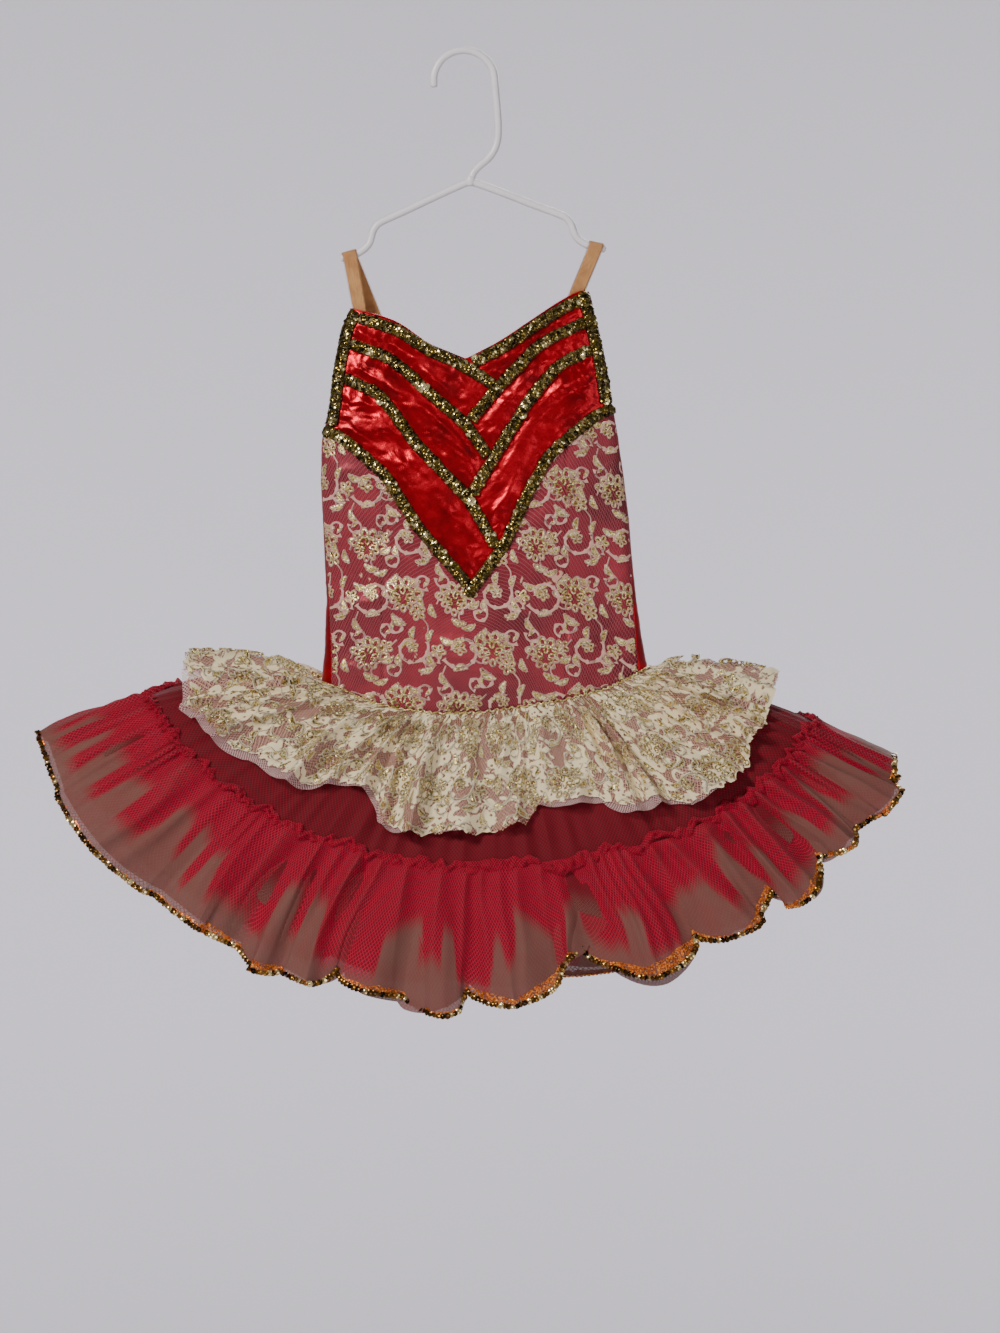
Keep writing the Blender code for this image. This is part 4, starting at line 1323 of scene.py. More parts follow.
class Scatter:
    """Geometry Nodes that set one small template on each of a list of sites."""

    def __init__(self) -> None:
        """Make the node tree."""
        tree = bpy.data.node_groups.new("scatter_on_sites", "GeometryNodeTree")
        face = tree.interface
        face.new_socket(name="Sites", in_out="INPUT", socket_type="NodeSocketGeometry")
        self.sockets = {
            name: face.new_socket(name=name, in_out="INPUT", socket_type=kind).identifier
            for name, kind in (("Template", "NodeSocketObject"), ("Tilt", "NodeSocketFloat"),
                               ("Seed", "NodeSocketInt"), ("Material", "NodeSocketMaterial"))}
        face.new_socket(name="Mesh", in_out="OUTPUT", socket_type="NodeSocketGeometry")
        bench = Bench(tree)
        entry = tree.nodes.new("NodeGroupInput").outputs
        named = {}
        for name, kind in (("out", "FLOAT_VECTOR"), ("along", "FLOAT_VECTOR"), ("size", "FLOAT")):
            node = bench.add("GeometryNodeInputNamedAttribute", {"Name": name}, data_type=kind)
            named[name] = node.outputs[0]
        facing = bench.add("FunctionNodeAxesToRotation", {0: named["out"], 1: named["along"]},
                           primary_axis="Z", secondary_axis="X")
        lowest = bench.math("MULTIPLY", entry["Tilt"], -1.0)
        swing = bench.add("FunctionNodeRandomValue", {0: lowest, 1: entry["Tilt"], "Seed": entry["Seed"]},
                          data_type="FLOAT_VECTOR")
        turned = bench.add("FunctionNodeEulerToRotation", {0: swing.outputs[0]})
        mixed = bench.add("FunctionNodeRotateRotation", {0: facing.outputs[0], 1: turned.outputs[0]},
                          rotation_space="LOCAL")
        shape = bench.add("GeometryNodeObjectInfo", {"Object": entry["Template"]})
        spread = bench.add("GeometryNodeInstanceOnPoints", {
            "Points": entry["Sites"], "Instance": shape.outputs["Geometry"],
            "Rotation": mixed.outputs[0], "Scale": named["size"]})
        real = bench.add("GeometryNodeRealizeInstances", {0: spread.outputs[0]})
        dressed = bench.add("GeometryNodeSetMaterial", {"Geometry": real.outputs[0],
                                                        "Material": entry["Material"]})
        leave = tree.nodes.new("NodeGroupOutput")
        tree.links.new(dressed.outputs[0], leave.inputs[0])
        self.tree = tree

    def run(self, name: str, sites: Sites, template: MeshParts, tilt: float, seed: int,
            material: Material, slot: Slot) -> Object:
        """Set the template on every site.

        Args:
            name: The new piece's name.
            sites: Where it goes.
            template: The small thing, in millimetres, facing +Z and pointing along +X.
            tilt: The largest random tilt, in degrees.
            seed: The seed of the tilts.
            material: Its material.
            slot: Not used.

        Returns:
            The piece, as one realized mesh.
        """
        model = bpy.data.meshes.new("template")
        model.from_pydata((template.points * MM).tolist(), [], template.faces.tolist())
        model.polygons.foreach_set("use_smooth", np.ones(len(model.polygons), dtype=bool))
        pattern = bpy.data.objects.new("template", model)
        mesh = bpy.data.meshes.new(name + "_sites")
        mesh.from_pydata((sites.points * MM).tolist(), [], [])
        for label, kind, values in (
                ("out", "FLOAT_VECTOR", sites.out), ("along", "FLOAT_VECTOR", sites.along),
                ("size", "FLOAT", sites.size), ("tint", "FLOAT", sites.tint)):
            layer = mesh.attributes.new(label, kind, "POINT")
            key = "vector" if kind == "FLOAT_VECTOR" else "value"
            layer.data.foreach_set(key, np.ascontiguousarray(values, dtype=np.float32).ravel())
        holder = bpy.data.objects.new(name + "_sites", mesh)
        for thing in (pattern, holder):
            show(thing)
        nodes = holder.modifiers.new("scatter", "NODES")
        nodes.node_group = self.tree
        for key, value in (("Template", pattern), ("Tilt", math.radians(tilt)), ("Seed", seed),
                           ("Material", material)):
            nodes[self.sockets[key]] = value
        bpy.context.view_layer.update()
        result = bpy.data.meshes.new_from_object(
            holder.evaluated_get(bpy.context.evaluated_depsgraph_get()))
        result.name = name
        holder.modifiers.clear()
        for thing in (holder, pattern):
            bpy.data.objects.remove(thing, do_unlink=True)
        return place(bpy.data.objects.new(name, result))


def cup_template(radius: float, sides: int) -> MeshParts:
    """Make one cup sequin with its hole.

    Args:
        radius: Its outer radius.
        sides: The number of sides.

    Returns:
        Its mesh's parts.
    """
    angle = np.arange(sides) * 2 * math.pi / sides
    rings = [np.stack([share * radius * np.cos(angle), share * radius * np.sin(angle),
                       np.full(sides, height * radius)], axis=1)
             for share, height in ((1.0, 0.0), (0.62, 0.2), (0.2, 0.26))]
    return MeshParts(np.concatenate(rings), grid_parts(np.array(rings), True).faces)


def bar_template(length: float, radius: float) -> MeshParts:
    """Make one short stitch.

    Args:
        length: Its length.
        radius: Its thickness.

    Returns:
        Its mesh's parts.
    """
    share = np.linspace(-0.5, 0.5, 6)
    path = np.stack([share * length, 0 * share, radius * (0.9 - 3.2 * share ** 2)], axis=1)
    return tube_parts(path, radius * np.sqrt(np.maximum(1 - (1.9 * share) ** 2, 0.1)), 4)


def loop_template(size: float, radius: float) -> MeshParts:
    """Make one picot loop that stands out along +X.

    Args:
        size: How far it stands out.
        radius: The thread's radius.

    Returns:
        Its mesh's parts.
    """
    angle = np.linspace(-2.4, 2.4, 7)
    path = np.stack([size * (0.5 + 0.5 * np.cos(angle)), 0.42 * size * np.sin(angle), 0 * angle], axis=1)
    return tube_parts(path, radius, 3)


@dataclass
class FrontCloth:
    """The satin of the front, with its creases and the puffs between the trims."""

    body: BodyForm
    crush: Noise = field(default_factory=lambda: Noise(11))
    warp: Noise = field(default_factory=lambda: Noise(23))

    def creases(self, x: Array, z: Array, rows: Rows) -> Array:
        """Add up the placed creases.

        Args:
            x: The places from left to right.
            z: The heights.
            rows: The table of creases.

        Returns:
            Their height.
        """
        total = np.zeros(np.shape(x))
        for x1, z1, x2, z2, width, height in rows:
            run = np.array([x2 - x1, z2 - z1], dtype=float)
            share = np.clip(((x - x1) * run[0] + (z - z1) * run[1]) / run.dot(run), 0.0, 1.0)
            bend = 0.9 * width * np.sin(share * 5.0 + x1)
            away = np.hypot(x - x1 - run[0] * share, z - z1 - run[1] * share + 0.35 * bend)
            total += height * np.exp(-(away / width) ** 2) * np.sin(math.pi * (0.12 + 0.76 * share))
        return total

    def rumple(self, x: Array, z: Array, size: float) -> Array:
        """Make the small disorder of crushed satin.

        Args:
            x: The places from left to right.
            z: The heights.
            size: The size of its features.

        Returns:
            Its height, about 1 at most.
        """
        bend = self.warp.at(x / (1.7 * size), z / (1.4 * size))
        u = x / size + 0.9 * bend
        v = z / (0.62 * size) + 0.8 * self.warp.at(z / (1.3 * size) + 31.0, x / (1.9 * size))
        wave = self.crush.layers(u, v, 3)
        return 0.55 * wave + 0.6 * (1.0 - np.abs(wave)) ** 3

    def trim_distance(self, x: Array, z: Array) -> tuple[Array, Array]:
        """Measure how far the nearest trim is.

        Args:
            x: The places from left to right.
            z: The heights.

        Returns:
            The distance to the nearest trim's middle line, and the place along it.
        """
        best = np.full(np.shape(x), 1e6)
        along = np.zeros(np.shape(x))
        for number, rows in enumerate(TRIMS.values()):
            path = np.array(rows)
            lengths = path_lengths(path)
            for start, end, walked in zip(path, path[1:], lengths):
                run = end - start
                share = np.clip(((x - start[0]) * run[0] + (z - start[1]) * run[1]) / run.dot(run), 0, 1)
                away = np.hypot(x - start[0] - run[0] * share, z - start[1] - run[1] * share)
                closer = away < best
                best = np.where(closer, away, best)
                along = np.where(closer, walked + share * np.hypot(*run) + 37.0 * number, along)
        return best, along

    def height(self, x: Array, z: Array) -> Array:
        """Give the satin's height over the CAD surface.

        Args:
            x: The places from left to right.
            z: The heights.

        Returns:
            The height, in millimetres.
        """
        away, along = self.trim_distance(x, z)
        free = smooth_step(away, 4.5, 13.0)
        pucker = self.crush.at(along / 3.4, 0.4) + 0.6 * self.crush.at(along / 1.9, 7.7)
        near = np.exp(-((away - 7.5) / 4.5) ** 2)
        lines = 1.3 * self.creases(x, z, FRONT_CREASES) * (0.25 + 0.75 * free)
        yoke = smooth_step(z - Curve(YOKE_LINE)(x), -6.0, 4.0)
        rough = (0.4 + 0.75 * yoke) * self.rumple(x, z, 19.0)
        rough = rough + (0.2 + 0.25 * yoke) * self.rumple(x + 9.0, z, 8.0)
        puff = 0.9 * free * yoke
        return lines + rough * (0.3 + 0.7 * free) + puff + 0.42 * pucker * near * yoke

    def edge_fade(self, turn: Array, z: Array, x: Array) -> Array:
        """Flatten the cloth towards its seams.

        Args:
            turn: The turns.
            z: The heights.
            x: The places from left to right.

        Returns:
            A share from 0 at a seam to 1 away from it.
        """
        left = smooth_step(turn - self.body.side_seam(z, "left"), 0.0, 9.0)
        right = smooth_step(self.body.side_seam(z, "right") - turn, 0.0, 9.0)
        top = smooth_step(Curve(NECKLINE)(x) - z, 0.0, 5.0)
        hip = smooth_step(z - Curve(HIP_LINE)(x), 0.0, 6.0)
        return left * right * top * hip

    def lifted(self, turn: Array, z: Array, lift: Array | float) -> Array:
        """Find points on or over the satin.

        Args:
            turn: The turns.
            z: The heights.
            lift: How far over the satin.

        Returns:
            The points.
        """
        base = self.body.point(turn, z)
        x = base[..., 0]
        fade = self.edge_fade(turn, z, x)
        seam = sum(np.exp(-((x - line) / 1.3) ** 2) for line in (PRINCESS_LEFT, PRINCESS_RIGHT))
        below = smooth_step(Curve(YOKE_LINE)(x) - z, 0.0, 4.0)
        rise = self.height(x, z) * fade - 0.7 * seam * below
        return base + self.body.normal(turn, z) * (rise + lift)[..., None]


@dataclass
class Bodice:
    """The satin yoke, the lace-covered panels, the back and their seams."""

    cloth: FrontCloth
    palette: Palette
    scatter: Scatter
    thickness: float = 0.7

    def panel(self, knots: Sequence[Callable[[Array], Array]], spans: Sequence[int],
              top: Curve, bottom: Curve, rows: int) -> tuple[Array, Array]:
        """Lay out a panel between two side edges and two lines across it.

        Args:
            knots: Turns of the edges and of lines between them, by height.
            spans: Columns between the knots.
            top: The upper line.
            bottom: The lower line.
            rows: The number of rows.

        Returns:
            The turn and the height of every point.
        """
        columns = sum(spans) + 1
        down = row_shares(rows) * np.ones(columns)
        z = np.full((rows, columns), -400.0)
        body = self.cloth.body
        for _ in range(30):
            lines = [np.broadcast_to(knot(z), z.shape) for knot in knots]
            turn = np.empty_like(z)
            start = 0
            for index, count in enumerate(spans):
                share = np.arange(count + 1) / count
                part = slice(start, start + count + 1)
                turn[:, part] = lines[index][:, part] + (lines[index + 1] - lines[index])[:, part] * share
                start += count
            x = body.point(turn, z)[..., 0]
            z = (z + top(x) + (bottom(x) - top(x)) * down) / 2
        return turn, z

    def build(self) -> list[Object]:
        """Build every piece.

        Returns:
            The pieces.
        """
        body = self.cloth.body
        neck, yoke, hip = Curve(NECKLINE), Curve(YOKE_LINE), Curve(HIP_LINE)

        def left(z: Array) -> Array:
            """Find the left side seam."""
            return body.side_seam(z, "left")

        def right(z: Array) -> Array:
            """Find the right side seam."""
            return body.side_seam(z, "right")

        def at(x: float) -> Callable[[Array], Array]:
            """Make a line down the front at x."""
            return lambda z: body.turn_of_front(x, z)

        knots = (left, at(PRINCESS_LEFT), at(TIP_X), at(PRINCESS_RIGHT), right)
        pieces = []
        turn, z = self.panel(knots, (40, 42, 46, 40), neck, yoke, 100)
        front = grid_parts(self.cloth.lifted(turn, z, 0.0), False).build(
            "yoke_satin", self.palette.satin, Slot.SATIN)
        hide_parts("front_yoke")
        pieces.append(front)
        for name, node, part, spans, flat, area in (
                ("lace_panel_left", "front_side_left", slice(0, 2), (30,), (0.075, 0.22), 0.0115),
                ("lace_panel_centre", "front_centre", slice(1, 4), (44, 48), (0.17, 0.22), 0.0245),
                ("lace_panel_right", "front_side_right", slice(3, 5), (30,), (0.09, 0.25), 0.0145)):
            turn, z = self.panel(knots[part], spans, yoke, hip, 90)
            piece = grid_parts(self.cloth.lifted(turn, z, 0.0), False).build(
                name, self.palette.veiled_satin, Slot.LACE_ON_SATIN)
            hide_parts(node)
            pieces.append(piece)
        turn, z = self.panel(knots, (24, 30, 32, 24), yoke, hip, 60)
        veil = grid_parts(self.cloth.lifted(turn, z, 0.45), False,
                          np.ones(turn.size)).build("front_lace_net", self.palette.veil, Slot.LACE_ON_SATIN)
        pieces.append(veil)
        pieces.append(self.back())
        for piece in pieces:
            if piece is not veil:
                thicken(piece, self.thickness)
        pieces += self.seams()
        return pieces

    def back(self) -> Object:
        """Build the back panel.

        Returns:
            The piece.
        """
        body, cloth = self.cloth.body, self.cloth
        edges = (lambda z: body.side_seam(z, "right") - FULL_TURN, lambda z: body.side_seam(z, "left"))
        turn, z = self.panel(edges, (150,), Curve(BACK_TOP), Curve(HIP_LINE), 100)
        base = body.point(turn, z)
        x = base[..., 0]
        fade = (smooth_step(turn - edges[0](z), 0.0, 10.0) * smooth_step(edges[1](z) - turn, 0.0, 10.0)
                * smooth_step(Curve(BACK_TOP)(x) - z, 0.0, 6.0)
                * smooth_step(z - Curve(HIP_LINE)(x), 0.0, 6.0))
        rise = (cloth.creases(x, z, BACK_CREASES) + 0.6 * cloth.rumple(x + 150.0, z, 21.0)
                + 0.22 * cloth.rumple(x + 70.0, z, 9.0)) * fade
        points = base + body.normal(turn, z) * rise[..., None]
        piece = grid_parts(points, False).build("back_satin", self.palette.satin, Slot.SATIN)
        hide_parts("back")
        return piece

    def seams(self) -> list[Object]:
        """Build the turned edges and the stitches of the seams.

        Returns:
            The pieces.
        """
        body = self.cloth.body
        neck = rounded(NECKLINE, 2.0)[1:-4]
        rolled = body.on_front(neck[:, 0], neck[:, 1] - 0.5, -0.3)
        x = np.linspace(-113.0, 124.0, 120)
        z = Curve(BACK_TOP)(x)
        behind = FULL_TURN - body.turn_of_front(x, z)
        hem = body.point(behind, z) - body.normal(behind, z) * 0.3
        edge = join_parts([tube_parts(rolled, 0.9, 8), tube_parts(hem, 0.9, 8)]).build(
            "turned_edges", self.palette.satin, Slot.SATIN)
        sites = []
        for line in (PRINCESS_LEFT, PRINCESS_RIGHT):
            z = np.arange(Curve(HIP_LINE)(line) + 6.0, Curve(YOKE_LINE)(line) - 8.0, 2.6)
            for side in (-1.5, 1.5):
                turn = body.turn_of_front(np.full(z.shape, line + side), z)
                sites.append((self.cloth.lifted(turn, z, 0.35), body.normal(turn, z)))
        points = np.concatenate([site[0] for site in sites])
        out = np.concatenate([site[1] for site in sites])
        along = np.tile([0.0, 0.0, -1.0], (len(points), 1))
        stitches = self.scatter.run(
            "princess_stitches", Sites.alike(points, out, along),
            bar_template(1.8, 0.16), 4.0, 5, self.palette.red_thread, Slot.LACE_ON_SATIN)
        return [edge, stitches]


@dataclass
class SequinTrims:
    """Braids of small cup sequins across the yoke and down the armholes."""

    cloth: FrontCloth
    palette: Palette
    scatter: Scatter
    width: float = 8.8
    radius: float = 2.6
    spacing: float = 2.9

    def braid(self, rows: Rows) -> MeshParts:
        """Make the braid under the sequins.

        Args:
            rows: The trim's middle line.

        Returns:
            The mesh's parts.
        """
        path = rounded(rows, 2.0)
        side = to_left(unit(np.gradient(path, axis=0)))
        lines = []
        walked = path_lengths(path)
        for share, lift in ((-0.5, 0.3), (-0.4, 1.2), (-0.15, 1.9), (0.15, 1.9), (0.4, 1.2), (0.5, 0.3)):
            wave = 0.25 * np.sin(walked * 2.1 + share * 9.0)
            spots = path + side * (self.width * share + wave)[:, None]
            lines.append(self.cloth.body.on_front(spots[:, 0], spots[:, 1], lift + 0.6))
        return grid_parts(np.array(lines), False)

    def sites(self, rows: Rows, seed: int) -> Sites:
        """Set out the sequins of one trim.

        Args:
            rows: The trim's middle line.
            seed: The seed of their disorder.

        Returns:
            The sites.
        """
        random = np.random.default_rng(seed)
        path = rounded(rows, 0.5)
        lengths = path_lengths(path)
        found: list[list[Array]] = [[], [], []]
        for number, share in enumerate((-0.33, -0.11, 0.11, 0.33)):
            start = (0.2 + 0.5 * (number % 2)) * self.spacing
            walked = np.arange(start, lengths[-1] - 0.4, self.spacing)
            walked = walked + random.uniform(-0.7, 0.7, walked.size)
            spot = points_at(path, lengths, walked)
            ahead = unit(points_at(path, lengths, walked + 1.0) - points_at(path, lengths, walked - 1.0))
            aside = self.width * share + random.uniform(-0.5, 0.5, walked.size)
            spot = spot + to_left(ahead) * aside[:, None]
            body = self.cloth.body
            turn = body.turn_of_front(spot[:, 0], spot[:, 1])
            normal = body.normal(turn, spot[:, 1])
            lift = 2.5 - 4.5 * share ** 2 + random.uniform(-0.2, 0.3, walked.size)
            run = np.insert(ahead, 1, 0.0, axis=1)
            across = unit(np.cross(run, normal))
            lean = random.uniform(0.1, 0.95, walked.size)[:, None] * run
            tip = (share * 1.6 + random.uniform(-0.35, 0.35, walked.size))[:, None] * across
            found[0].append(body.point(turn, spot[:, 1]) + normal * lift[:, None])
            found[1].append(unit(normal - lean - tip))
            found[2].append(run)
        points = np.concatenate(found[0])
        # Each sequin's tone spreads at random from dark to bright as painted shade and painted glints; one
        # in 25 gets the brightest, a painted glint.
        tint = random.beta(1.2, 2.2, len(points))
        tint[random.random(len(points)) < 0.04] = 1.0
        size = random.uniform(0.86, 1.08, len(points))
        facing = np.concatenate(found[1])
        # The listed sparks get the brightest tone, a painted glint, and are turned to face the front.
        for x, z, scale in SPARKS:
            away = np.hypot(points[:, 0] - x, points[:, 2] - z)
            nearest = int(np.argmin(away))
            if away[nearest] < 4.0:
                points[nearest] += facing[nearest] * 0.8
                tint[nearest], size[nearest] = 1.0, scale
                facing[nearest] = unit(np.array([-0.26, -0.93, 0.24]))
        return Sites(points, facing, np.concatenate(found[2]), size, tint)

    def build(self) -> list[Object]:
        """Build every trim.

        Returns:
            The pieces.
        """
        pieces = []
        for number, (name, rows) in enumerate(TRIMS.items()):
            base = self.braid(rows).build(name.replace("trim", "braid"), self.palette.braid, Slot.SEQUIN)
            thicken(base, 0.6)
            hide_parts(name)
            sequins = self.scatter.run(name.replace("trim", "sequins"), self.sites(rows, 50 + number),
                                       cup_template(self.radius, 10), 16.0, 90 + number,
                                       self.palette.sequin, Slot.SEQUIN)
            pieces += [base, sequins]
        return pieces


@dataclass(frozen=True)
class Stroke:
    """One line of the lace on the flat pattern."""

    kind: Thread
    points: Array
    half: Array


class LaceDesign:
    """A plain scroll, leaf and flower lace, drawn as strokes of changing width."""

    cell_width = 72.0
    cell_height = 92.0
    weight = 1.15

    def __init__(self) -> None:
        """Draw one cell."""
        self.strokes: list[Stroke] = []
        for draw, rows in ((self.scroll, SCROLLS), (self.fan, FANS), (self.flower, FLOWERS),
                           (self.leaf, LEAVES)):
            for row in rows:
                draw(*row)
        for path in STEMS:
            self.stem(path)

    def add(self, kind: Thread, points: Array, half: Array | float) -> None:
        """Keep one stroke."""
        half = np.broadcast_to(half, (len(points),)).astype(float)
        self.strokes.append(Stroke(kind, points, half * self.weight))

    def scroll(self, x: float, y: float, radius: float, start: float, sweep: float, thorns: int) -> None:
        """Draw a curl with small thorns and a gold tip.

        Args:
            x: Its centre across.
            y: Its centre down.
            radius: Its outer radius.
            start: The angle where it starts.
            sweep: How far it turns.
            thorns: How many thorns it has.
        """
        share = np.linspace(0.0, 1.0, max(20, int(radius * abs(sweep) / 90)))
        angle = np.radians(start + sweep * share)
        size = radius * (1.0 - 0.62 * smooth_step(share, 0.35, 1.0))
        points = np.stack([x + size * np.cos(angle), y + size * np.sin(angle)], axis=1)
        thorn = np.abs(np.cos(math.pi * thorns * share)) ** 14
        self.add(Thread.CORD, points, 0.55 + 0.03 * radius + 1.0 * thorn)
        tip = share > 0.62
        inward = points + unit(np.array([x, y]) - points) * 1.2
        swell = np.sin(math.pi * (share[tip] - 0.62) / 0.38)
        self.add(Thread.GOLD, inward[tip], 0.6 + 0.15 * radius * swell)

    def leaf(self, x: float, y: float, angle: float, length: float, width: float) -> None:
        """Draw a leaf: a gold half, a cord outline and a vein.

        Args:
            x: Its root across.
            y: Its root down.
            angle: Its direction.
            length: Its length.
            width: Its width.
        """
        share = np.linspace(0.0, 1.0, 11)
        run, side = heading(angle)
        bow = 0.16 * length * np.sin(math.pi * share)
        spine = np.array([x, y]) + np.outer(share * length, run) + np.outer(bow, side)
        half = 0.5 * width * np.sin(math.pi * np.clip(share, 0.02, 0.98)) ** 0.75
        self.add(Thread.GOLD, spine, 0.8 * half + 0.25)
        serration = 0.3 * np.sin(share * 26.0)
        for way in (-1.0, 1.0):
            self.add(Thread.CORD, spine + np.outer(way * (half + serration), side), 0.5)

    def flower(self, x: float, y: float, size: float, petals: int, turn: float) -> None:
        """Draw an eyelet flower: a gold ring for each petal, with a cord edge.

        Args:
            x: Its centre across.
            y: Its centre down.
            size: Its radius.
            petals: The number of petals.
            turn: The angle of its first petal.
        """
        angle = np.linspace(0.0, 2 * math.pi, 12)
        for number in range(petals):
            run, side = heading(turn + 360.0 * number / petals)
            centre = np.array([x, y]) + run * 0.62 * size
            ring = np.outer(np.cos(angle) * 0.36 * size, run) + np.outer(np.sin(angle) * 0.27 * size, side)
            self.add(Thread.GOLD, centre + ring, 0.12 * size)
            self.add(Thread.CORD, centre + ring * 1.36, 0.42)
        ring = np.stack([x + 0.16 * size * np.cos(angle), y + 0.16 * size * np.sin(angle)], axis=1)
        self.add(Thread.GOLD, ring, 0.12 * size)

    def fan(self, x: float, y: float, size: float, petals: int, turn: float) -> None:
        """Draw a fan of eyelets in two rows, with a scalloped cord edge.

        Args:
            x: Its root across.
            y: Its root down.
            size: Its radius.
            petals: The number of eyelets in the outer row.
            turn: The angle of its middle.
        """
        angle = np.linspace(0.0, 2 * math.pi, 11)
        for distance, share, count in ((0.72, 1.0, petals), (0.34, 0.7, petals - 3)):
            for swing in np.linspace(-78.0, 78.0, count):
                run, side = heading(turn + swing)
                ring = (np.outer(np.cos(angle) * 0.24 * size * share, run)
                        + np.outer(np.sin(angle) * 0.15 * size * share, side))
                centre = np.array([x, y]) + run * distance * size
                self.add(Thread.GOLD, centre + ring, 0.05 * size * share)
                if share == 1.0:
                    outer = np.cos(angle) > -0.35
                    self.add(Thread.CORD, centre + (ring * 1.45)[outer], 0.55)

    def stem(self, path: Rows) -> None:
        """Draw a cord through listed points."""
        self.add(Thread.CORD, rounded(path, 1.8), 0.55)

    def spread(self, width: float, height: float) -> list[Stroke]:
        """Repeat the cell over a piece, each second column half a cell lower.

        Args:
            width: The piece's width.
            height: The piece's height.

        Returns:
            The strokes.
        """
        found = []
        for col in range(-1, int(width / self.cell_width) + 2):
            for row in range(-1, int(height / self.cell_height) + 2):
                shift = np.array([col * self.cell_width,
                                  (row + 0.5 * (col % 2)) * self.cell_height])
                found += [Stroke(s.kind, s.points + shift, s.half) for s in self.strokes]
        return found


def lace_parts(strokes: Sequence[Stroke], kind: Thread, surface: Callable[[Array, Array, Array], Array],
               inside: Callable[[Array, Array], Array]) -> MeshParts:
    """Raise the strokes of one kind on a surface.

    Args:
        strokes: The strokes.
        kind: Which of them.
        surface: The place of a point on the flat pattern, with its lift.
        inside: Whether a point on the flat pattern is on the cloth.

    Returns:
        The mesh's parts.
    """
    flats, lifts, faces = [], [], []
    first = 0
    heights = (0.1, 0.55, 0.1) if kind is Thread.CORD else (0.15, 0.4, 0.15)
    for stroke in strokes:
        if stroke.kind is not kind:
            continue
        side = to_left(unit(np.gradient(stroke.points, axis=0)))
        reach = stroke.half[:, None]
        lines = np.stack([stroke.points - side * reach, stroke.points, stroke.points + side * reach], axis=1)
        keep = inside(lines[..., 0], lines[..., 1]).all(axis=1)
        if not keep.any():
            continue
        flats.append(lines.reshape(-1, 2))
        lifts.append(np.tile(heights, len(lines)))
        row = np.nonzero(keep[:-1] & keep[1:])[0]
        for col in (0, 1):
            a = first + row * 3 + col
            faces.append(np.stack([a, a + 1, a + 4, a + 3], axis=1))
        first += lines.shape[0] * 3
    flat = np.concatenate(flats)
    face = np.concatenate(faces)
    used, compact = np.unique(face, return_inverse=True)
    points = surface(flat[used, 0], flat[used, 1], np.concatenate(lifts)[used])
    return MeshParts(points, compact.reshape(face.shape))


def face_outward(parts: MeshParts, reference: Array) -> MeshParts:
    """Turn faces so that they look away from a reference point.

    Args:
        parts: The mesh's parts.
        reference: A point inside.

    Returns:
        The mesh's parts with faces turned outward.
    """
    corners = parts.points[parts.faces]
    normal = np.cross(corners[:, 2] - corners[:, 0], corners[:, 3] - corners[:, 1])
    wrong = np.sum(normal * (corners.mean(axis=1) - reference), axis=1) < 0.0
    parts.faces[wrong] = parts.faces[wrong][:, ::-1]
    return parts


def lace_pieces(strokes: Sequence[Stroke], surface: Callable[[Array, Array, Array], Array],
                inside: Callable[[Array, Array], Array], middle: float, slot: Slot,
                kinds: Sequence[tuple[str, Thread, Material]]) -> list[Object]:
    """Build the pieces of a lace's pattern.

    Args:
        strokes: The pattern's strokes.
        surface: The place of a point on the flat pattern, with its lift.
        inside: Whether a point on the flat pattern is on the cloth.
        middle: The height of the cloth's middle.
        slot: A material slot name, passed on to each piece's build, which does not use it.
        kinds: The name, the kind of stroke and the material of each piece.

    Returns:
        The pieces.
    """
    centre = np.array([MIDDLE_X, 0.0, middle])
    return [face_outward(lace_parts(strokes, kind, surface, inside), centre).build(name, material, slot)
            for name, kind, material in kinds]


@dataclass
class FrontLace:
    """The lace pattern on the bodice's front."""

    cloth: FrontCloth
    palette: Palette
    design: LaceDesign
    top: float = -300.0
    across: float = 352.0
    tall: float = 270.0

    def build(self) -> list[Object]:
        """Build its cords and its gold.

        Returns:
            The pieces.
        """
        body = self.cloth.body
        turns = np.linspace(181.0, 359.0, 600)
        way = path_lengths(body.point(turns, np.full(turns.shape, -460.0)))
        way = way - np.interp(body.turn_of_front(TIP_X, -460.0), turns, way) + self.across / 2

        def turn_at(u: Array) -> Array:
            """Find the turn at a place across the pattern."""
            return np.interp(u, way, turns)

        def inside(u: Array, v: Array) -> Array:
            """Say whether points lie on the lace panels.

            Args:
                u: Places across the pattern.
                v: Places down it.

            Returns:
                Whether each lies on them.
            """
            turn, z = turn_at(u), self.top - v
            x = body.point(turn, z)[..., 0]
            return ((z < Curve(YOKE_LINE)(x) - 1.0) & (z > Curve(HIP_LINE)(x) + 0.5)
                    & (turn > body.side_seam(z, "left") + 0.8) & (turn < body.side_seam(z, "right") - 0.8))

        def surface(u: Array, v: Array, lift: Array) -> Array:
            """Find points over the net."""
            return self.cloth.lifted(turn_at(u), self.top - v, lift + 0.55)

        strokes = self.design.spread(self.across, self.tall)
        return lace_pieces(strokes, surface, inside, -450.0, Slot.LACE_ON_SATIN, (
            ("front_lace_cords", Thread.CORD, self.palette.cord),
            ("front_lace_gold", Thread.GOLD, self.palette.gold)))


